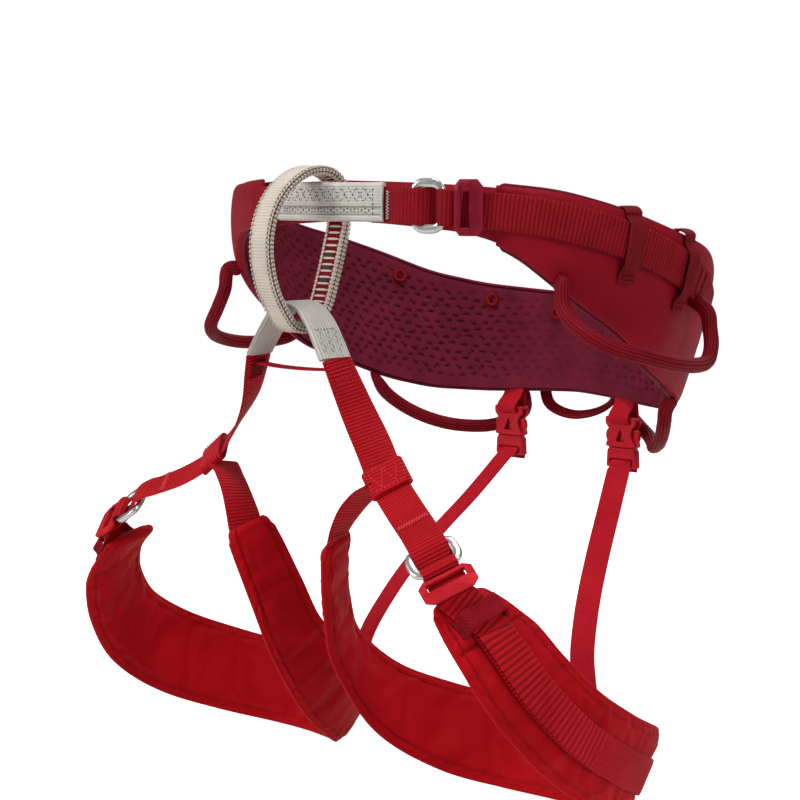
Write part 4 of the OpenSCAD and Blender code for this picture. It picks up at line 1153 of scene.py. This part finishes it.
anodised_dark = anodised("anodised_raspberry", (0.19, 0.006, 0.020), (0.32, 0.02, 0.045))
anodised_red = anodised("anodised_red", (0.46, 0.006, 0.014), (0.58, 0.02, 0.03))
ring_angles = np.linspace(0, 2 * np.pi, 121)[:-1]
rod_profile = [(0.5 + 0.5 * np.sign(math.cos(a)) * abs(math.cos(a)) ** 0.8,
                rod_d / 2 * np.sign(math.sin(a)) * abs(math.sin(a)) ** 0.6)
               for a in np.linspace(0, 2 * np.pi, 17)[:-1]]
frame_outer = oval(ring_angles, frame_l / 2, frame_w / 2, 3.0)
frame_inner = oval(ring_angles, frame_l / 2 - rod_d, frame_w / 2 - rod_d - 1.5, 3.6)
plate_corners = [(-7.5, -10.5), (-4.5, -14.2), (4.5, -14.2), (7.5, -10.5), (7.5, 10.5), (4.5, 14.2),
                 (-4.5, 14.2), (-7.5, 10.5)]
corner_angles = np.array([math.atan2(y, x) for x, y in plate_corners])
slot_angles = np.array([math.atan2(y, x) for x in (-3.8, 0.6) for y in (-10.2, 10.2)])
plate_angles = np.sort(np.concatenate([(np.concatenate([corner_angles + d
                                                        for d in (-0.012, 0.012)])) % (2 * np.pi),
                                       slot_angles % (2 * np.pi), np.linspace(0, 2 * np.pi, 73)[:-1]]))
plate_outer = many_sided(plate_angles, plate_corners)
plate_inner = many_sided(plate_angles, [(-3.8, -10.2), (0.6, -10.2), (0.6, 10.2), (-3.8, 10.2)])
plate_profile = [(0, 0.4), (0, 2.2), (0.1, 2.6), (0.55, 2.6), (1, 1.5), (1, 0.5), (0.88, 0), (0.1, 0)]
frame_at, plate_at, web_mid = 28.0, 36.5, 41.5


def on_waist(t, off, z):
    """Place and directions of a buckle part on the waist webbing at angle t."""
    r = math.radians(t)
    return placed(around(t, off, z), (belt_a * math.cos(r), belt_b * math.sin(r), 0), (0, 0, 1))


finish_piece(ring_piece("waist_buckle_ring", frame_outer, frame_inner, ring_angles, rod_profile,
                        on_waist(frame_at, gap + 4, web_mid)), steel, "waist_frame", "buckle_steel",
             "waist_frame")
finish_piece(ring_piece("waist_buckle_plate", plate_outer, plate_inner, plate_angles, plate_profile,
                        on_waist(plate_at, 5, web_mid - 0.8), sharp=20), anodised_dark, "root",
             "buckle_plate", "waist_plate")
for name_side, mirror in both_sides:
    finish_piece(ring_piece(f"leg_buckle_ring_{name_side}", frame_outer, frame_inner, ring_angles,
                            rod_profile,
                            placed(leg_buckle, leg_along, leg_side), mirror), steel, f"leg_frame_{name_side}",
                 "buckle_steel", f"leg_frame_{name_side}")
    finish_piece(ring_piece(f"leg_buckle_plate_{name_side}", plate_outer, plate_inner, plate_angles,
                            plate_profile,
                            placed(leg_buckle, leg_along, leg_side, 18.6, -1.2), mirror, sharp=20),
                 anodised_red, "root", "buckle_plate", f"leg_plate_{name_side}")

# ---- Gear loops ----
# Four stiff loops: a plastic core in a woven sheath with lengthwise ridges. Their ends
# are pressed flat and sewn into the belt's lower edge.
tube_r = 4.0
front_loop = [(128.9, -68, 3), (132, -71.5, -8), (141, -72, -17), (156, -67.5, -26), (167, -52, -32),
              (170, -27, -37.5), (165.5, 1, -39), (161, 13, -32), (156, 18.5, -22), (153.3, 19, -13)]
rear_loop = [(112, 39.5, -70), (108, 43.5, -77.5), (100, 52, -86), (90, 62, -92.5), (78, 73, -96.5),
             (66, 88, -97.5), (55, 97.5, -94), (45, 99.8, -88), (40, 97, -80)]
front_droop = {"left": 0.0, "right": 16.0}
sheath = knit("gear_loop_sheath", (0.40, 0.010, 0.026), (0.25, 0.005, 0.014), 0.42, 1.2, 1.6, 0.12)


def turned(points, start, stop, degrees):
    """Points turned about the line from start to stop."""
    k = unit(np.array(stop, float) - np.array(start, float))
    p = np.asarray(points, float) - start
    c, s = math.cos(math.radians(degrees)), math.sin(math.radians(degrees))
    return p * c + np.cross(k, p) * s + np.outer(p @ k, k) * (1 - c) + start


def tucked(point, up, off=-3.0):
    """Place inside the belt where the end of a loop that reaches the belt at point is sewn in."""
    t = math.degrees(math.atan2(point[0] / belt_a, -point[1] / belt_b))
    return on_belt(t, np.clip(height_at(t, point[2] + up), 0.02, 0.94), off)


for name_side, mirror in both_sides:
    hung = turned(curve(front_loop, 10), front_loop[0], front_loop[-1], front_droop[name_side])
    hung = curve(np.vstack([tucked(front_loop[0], 0), hung[::10], tucked(front_loop[-1], 8)]), 10)
    front_band = Band(hung, (0.75, -0.1, 0.65))
    rear_band = Band(curve([tucked(rear_loop[0], 6), *rear_loop, tucked(rear_loop[-1], 4, 1.0)], 10),
                     (0.57, 0.8, 0.19))
    for label, band in (("front", front_band), ("rear", rear_band)):
        tube = cord_rings(band, tube_r, 1.2, sides=56, ribs=14, rib=0.45, flat_ends=(14, 0.55))
        # Painted shade: the sheath's colour darkens between its ridges.
        piece = skin(f"gear_loop_{label}_{name_side}", tube, mirror=mirror, sharp=75,
                     hollow=np.tile(1 - np.abs(np.cos(np.arange(56) * np.pi / 4)) ** 0.8, (len(tube), 1))
                     * 0.8)
        finish_piece(piece, sheath, f"gear_{label}_{name_side}", "gear_loop_tube",
                     f"gear_{label}_{name_side}")

# ---- Haul loop and rear straps ----
# A small loop of flat webbing hangs at the middle of the back. Two elastic straps hold
# up the leg loops; each has a moulded clip that lets the wearer drop them.
haul_points = [(-31, 107.5, -64), (-31, 105, -75), (-22, 101, -83), (-4, 99.5, -86.5), (14, 101, -83),
               (23, 105, -75), (23, 109, -64)]
haul_sewn = [tucked(haul_points[0], 4, 1.3), *haul_points[1:-1], tucked(haul_points[-1], 4, 1.3)]
haul_flat = [(0, 0.8, 0.6)] * 3
haul_across = [(1, 0, 0), (0.6, 0.5, 0.3), *haul_flat, (-0.6, 0.5, 0.3), (-1, 0, 0)]
haul_band = Band(curve(haul_sewn), curve(haul_across))
haul_tacks = [run for s in (1.0, haul_band.length - 4.0) for run in tack(haul_band, s, s + 3, -3, 3, 8, -1.3)]
strap("haul_loop_strap", haul_band, 7.2, 2.4, sheath, "haul_loop", "haul_webbing", "haul_loop", pitch=1.5,
      rib=0.12, cords=5, cord=0.2)
threads("haul_loop_tacks", haul_tacks, 0.28, seam_red, "haul_loop", "haul_webbing")
clip_top = np.array([44.0, 88.0, -83.0])
clip_t, elastic_w, elastic_t = 7.0, 15.0, 1.7
hanger_points = [(43.4, 90.2, -72), (43.7, 88.3, -76.5), (44, 84.0, -81), (44, 82.8, -84), (44, 84.2, -86.6),
                 (44, 88, -87), (44, 91.8, -86.4), (44, 93.0, -83.5), (43.8, 92.8, -79), (43.5, 92.6, -74)]
elastic_points = [(44, 91.9, -116), (44, 92.2, -111.5), (44, 90, -109.2), (44.2, 86.2, -109.4),
                  (45.2, 82.6, -113.5),
                  (54, 62, -137), (63, 42, -158), (72, 23, -181), (80, 9, -204), (86, 3.5, -220),
                  (90, 2.4, -234), (92, -2.2, -246)]


def moulded(name, outlines, thick, round_off, y, material, body, slot, mirror, *nodes):
    """Flat moulding with rounded edges; outlines are loops of (x, z) measured from the top of the clip."""
    flat = bpy.data.curves.new(name, "CURVE")
    flat.dimensions, flat.fill_mode = "2D", "BOTH"
    flat.extrude, flat.bevel_depth, flat.bevel_resolution = (thick / 2 - round_off) * MM, round_off * MM, 3
    flat.offset = -round_off * MM
    for outline in outlines:
        spline = flat.splines.new("POLY")
        spline.points.add(len(outline) - 1)
        for point, (x, z) in zip(spline.points, outline):
            point.co = (x * MM, z * MM, 0, 1)
        spline.use_cyclic_u = True
    shape = bpy.data.objects.new(name, flat)
    bpy.context.scene.collection.objects.link(shape)
    bpy.context.view_layer.update()
    mesh = bpy.data.meshes.new_from_object(shape.evaluated_get(bpy.context.evaluated_depsgraph_get()))
    bpy.data.objects.remove(shape)
    corners = np.array([v.co for v in mesh.vertices]) / MM
    stood = np.stack([clip_top[0] + corners[:, 0], clip_top[1] + y - corners[:, 2],
                      clip_top[2] + corners[:, 1]], 1)
    piece = build(name, stood, [tuple(p.vertices) for p in mesh.polygons], mirror=mirror, sharp=35)
    return finish_piece(piece, material, body, slot, *nodes)


def rounded(points, radius=1.0, steps=4):
    """Closed outline with each corner cut to a short arc."""
    points = np.array(points, float)
    out = []
    for before, corner, after in zip(np.roll(points, 1, 0), points, np.roll(points, -1, 0)):
        a, b = before - corner, after - corner
        cut = min(radius, np.linalg.norm(a) / 2.2, np.linalg.norm(b) / 2.2)
        p, q = corner + unit(a) * cut, corner + unit(b) * cut
        for t in np.linspace(0, 1, steps):
            out.append(tuple((1 - t) ** 2 * p + 2 * t * (1 - t) * corner + t * t * q))
    return out


clip_red = shader("clip_acetal_red", (0.52, 0.007, 0.018), 0.36, Specular_IOR_Level=0.3,
                  Specular_Tint=(1, 0.6, 0.6, 1))[0]
add_bump(clip_red, noise(clip_red.node_tree, 1400).outputs["Fac"], 0.25, 0.03)
socket_side = [(11, 0), (11, -4.6), (8.4, -7), (7.6, -10), (8.6, -13.5), (10.4, -15.5), (10.4, -18)]
socket_outline = rounded(socket_side + [(-x, z) for x, z in reversed(socket_side)], 1.4)
strap_slot = rounded([(-8.2, -2.1), (8.2, -2.1), (8.2, -4.0), (-8.2, -4.0)], 0.8)
window = rounded([(0, -7.2), (3.3, -14.8), (-3.3, -14.8)], 0.8)
plug_outline = rounded([(-10.4, -19.8), (-8.5, -18.4), (8.5, -18.4), (10.4, -19.8), (11, -30.2),
                        (-11, -30.2)], 1.2)
plug_slot = rounded([(-8.2, -25.2), (8.2, -25.2), (8.2, -28.4), (-8.2, -28.4)], 0.8)
tongue = rounded([(-1.3, -9.2), (1.3, -9.2), (1.3, -22), (-1.3, -22)], 0.5)
arm_outline = [(6.8, -21.0), (9.3, -21.0), (11.2, -15.2), (12.4, -12.2), (11.8, -8.6), (9.8, -6.9),
               (7.5, -7.2), (8.4, -12.0), (7.4, -17)]
for name_side, mirror in both_sides:
    strap(f"clip_hanger_{name_side}", Band(curve(hanger_points), (1, 0, 0)), elastic_w, elastic_t,
          elastic_red, "root", "leg_webbing", f"hanger_{name_side}", pitch=1.2, rib=0.08, mirror=mirror)
    for label, y in (("front", -clip_t / 2 + 0.9), ("back", clip_t / 2 - 0.9)):
        plates = moulded(f"clip_socket_{label}_{name_side}", [socket_outline, strap_slot, window], 1.8,
                         0.5, y, clip_red, "root", "clip_plastic", mirror)
        if label == "front":
            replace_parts(plates, f"clip_socket_{name_side}")
    bridge = rounded([(-10.6, -0.6), (10.6, -0.6), (10.6, -2.0), (-10.6, -2.0)], 0.4)
    moulded(f"clip_socket_bridge_{name_side}", [bridge], clip_t - 0.6, 0.3, 0, clip_red, "root",
            "clip_plastic", mirror)
    moulded(f"clip_socket_spine_{name_side}",
            [rounded([(-8, -4.6), (8, -4.6), (7.2, -6.8), (-7.2, -6.8)], 0.5)],
            clip_t - 0.6, 0.3, 0, clip_red, "root", "clip_plastic", mirror)
    moulded(f"clip_plug_bar_{name_side}", [plug_outline, plug_slot], 4.8, 0.8, 0, clip_red,
            f"clip_plug_{name_side}", "clip_plastic", mirror, f"clip_plug_{name_side}")
    moulded(f"clip_plug_tongue_{name_side}", [tongue], 2.6, 0.4, 0, clip_red, f"clip_plug_{name_side}",
            "clip_plastic", mirror)
    for label, flip in (("out", 1), ("in", -1)):
        moulded(f"clip_plug_arm_{name_side}_{label}",
                [rounded([(flip * x, z) for x, z in arm_outline], 1.0)], 2.8, 0.6, 0,
                clip_red, f"clip_arm_{name_side}_{label}", "clip_plastic", mirror,
                f"clip_arm_{name_side}_{label}")
    elastic_band = Band(curve(elastic_points),
                        [(1, 0 if i < 32 else 0.2, 0) for i in range((len(elastic_points) - 1) * 8 + 1)])
    elastic = webbing(f"elastic_strap_{name_side}", elastic_band, elastic_w, elastic_t, pitch=1.2, rib=0.08,
                      mirror=mirror)
    elastic.data.materials.append(elastic_red)
    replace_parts(elastic, f"elastic_{name_side}")
    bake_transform(elastic)

# ---- Eyelets ----
# Three rings of close red stitches fix the lining to the straps behind it.
for number, (t, z) in enumerate(((235, -4.5), (208, -19), (189, -26)), 1):
    off = lining_in - gap
    v = height_at(t, z)
    r = math.radians(t)
    origin, ex, ey, ez = placed(on_belt(t, v, off), (belt_a * math.cos(r), belt_b * math.sin(r), 0),
                                on_belt(t, v + 0.05, off) - on_belt(t, v - 0.05, off))
    loops = []
    for a in np.linspace(0, 2 * np.pi, 31)[:-1]:
        ray = ex * math.cos(a) + ey * math.sin(a)
        loops.append([origin + ray * d + ez * h
                      for d, h in ((2.0, 0.5), (2.4, -0.9), (3.3, -1.15), (4.1, -0.7), (4.4, 0.5))])
    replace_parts(threads(f"eyelet_stitches_{number}", loops, 0.42, seam_red, "root", "eyelet_thread"),
                f"eyelet_{number}")
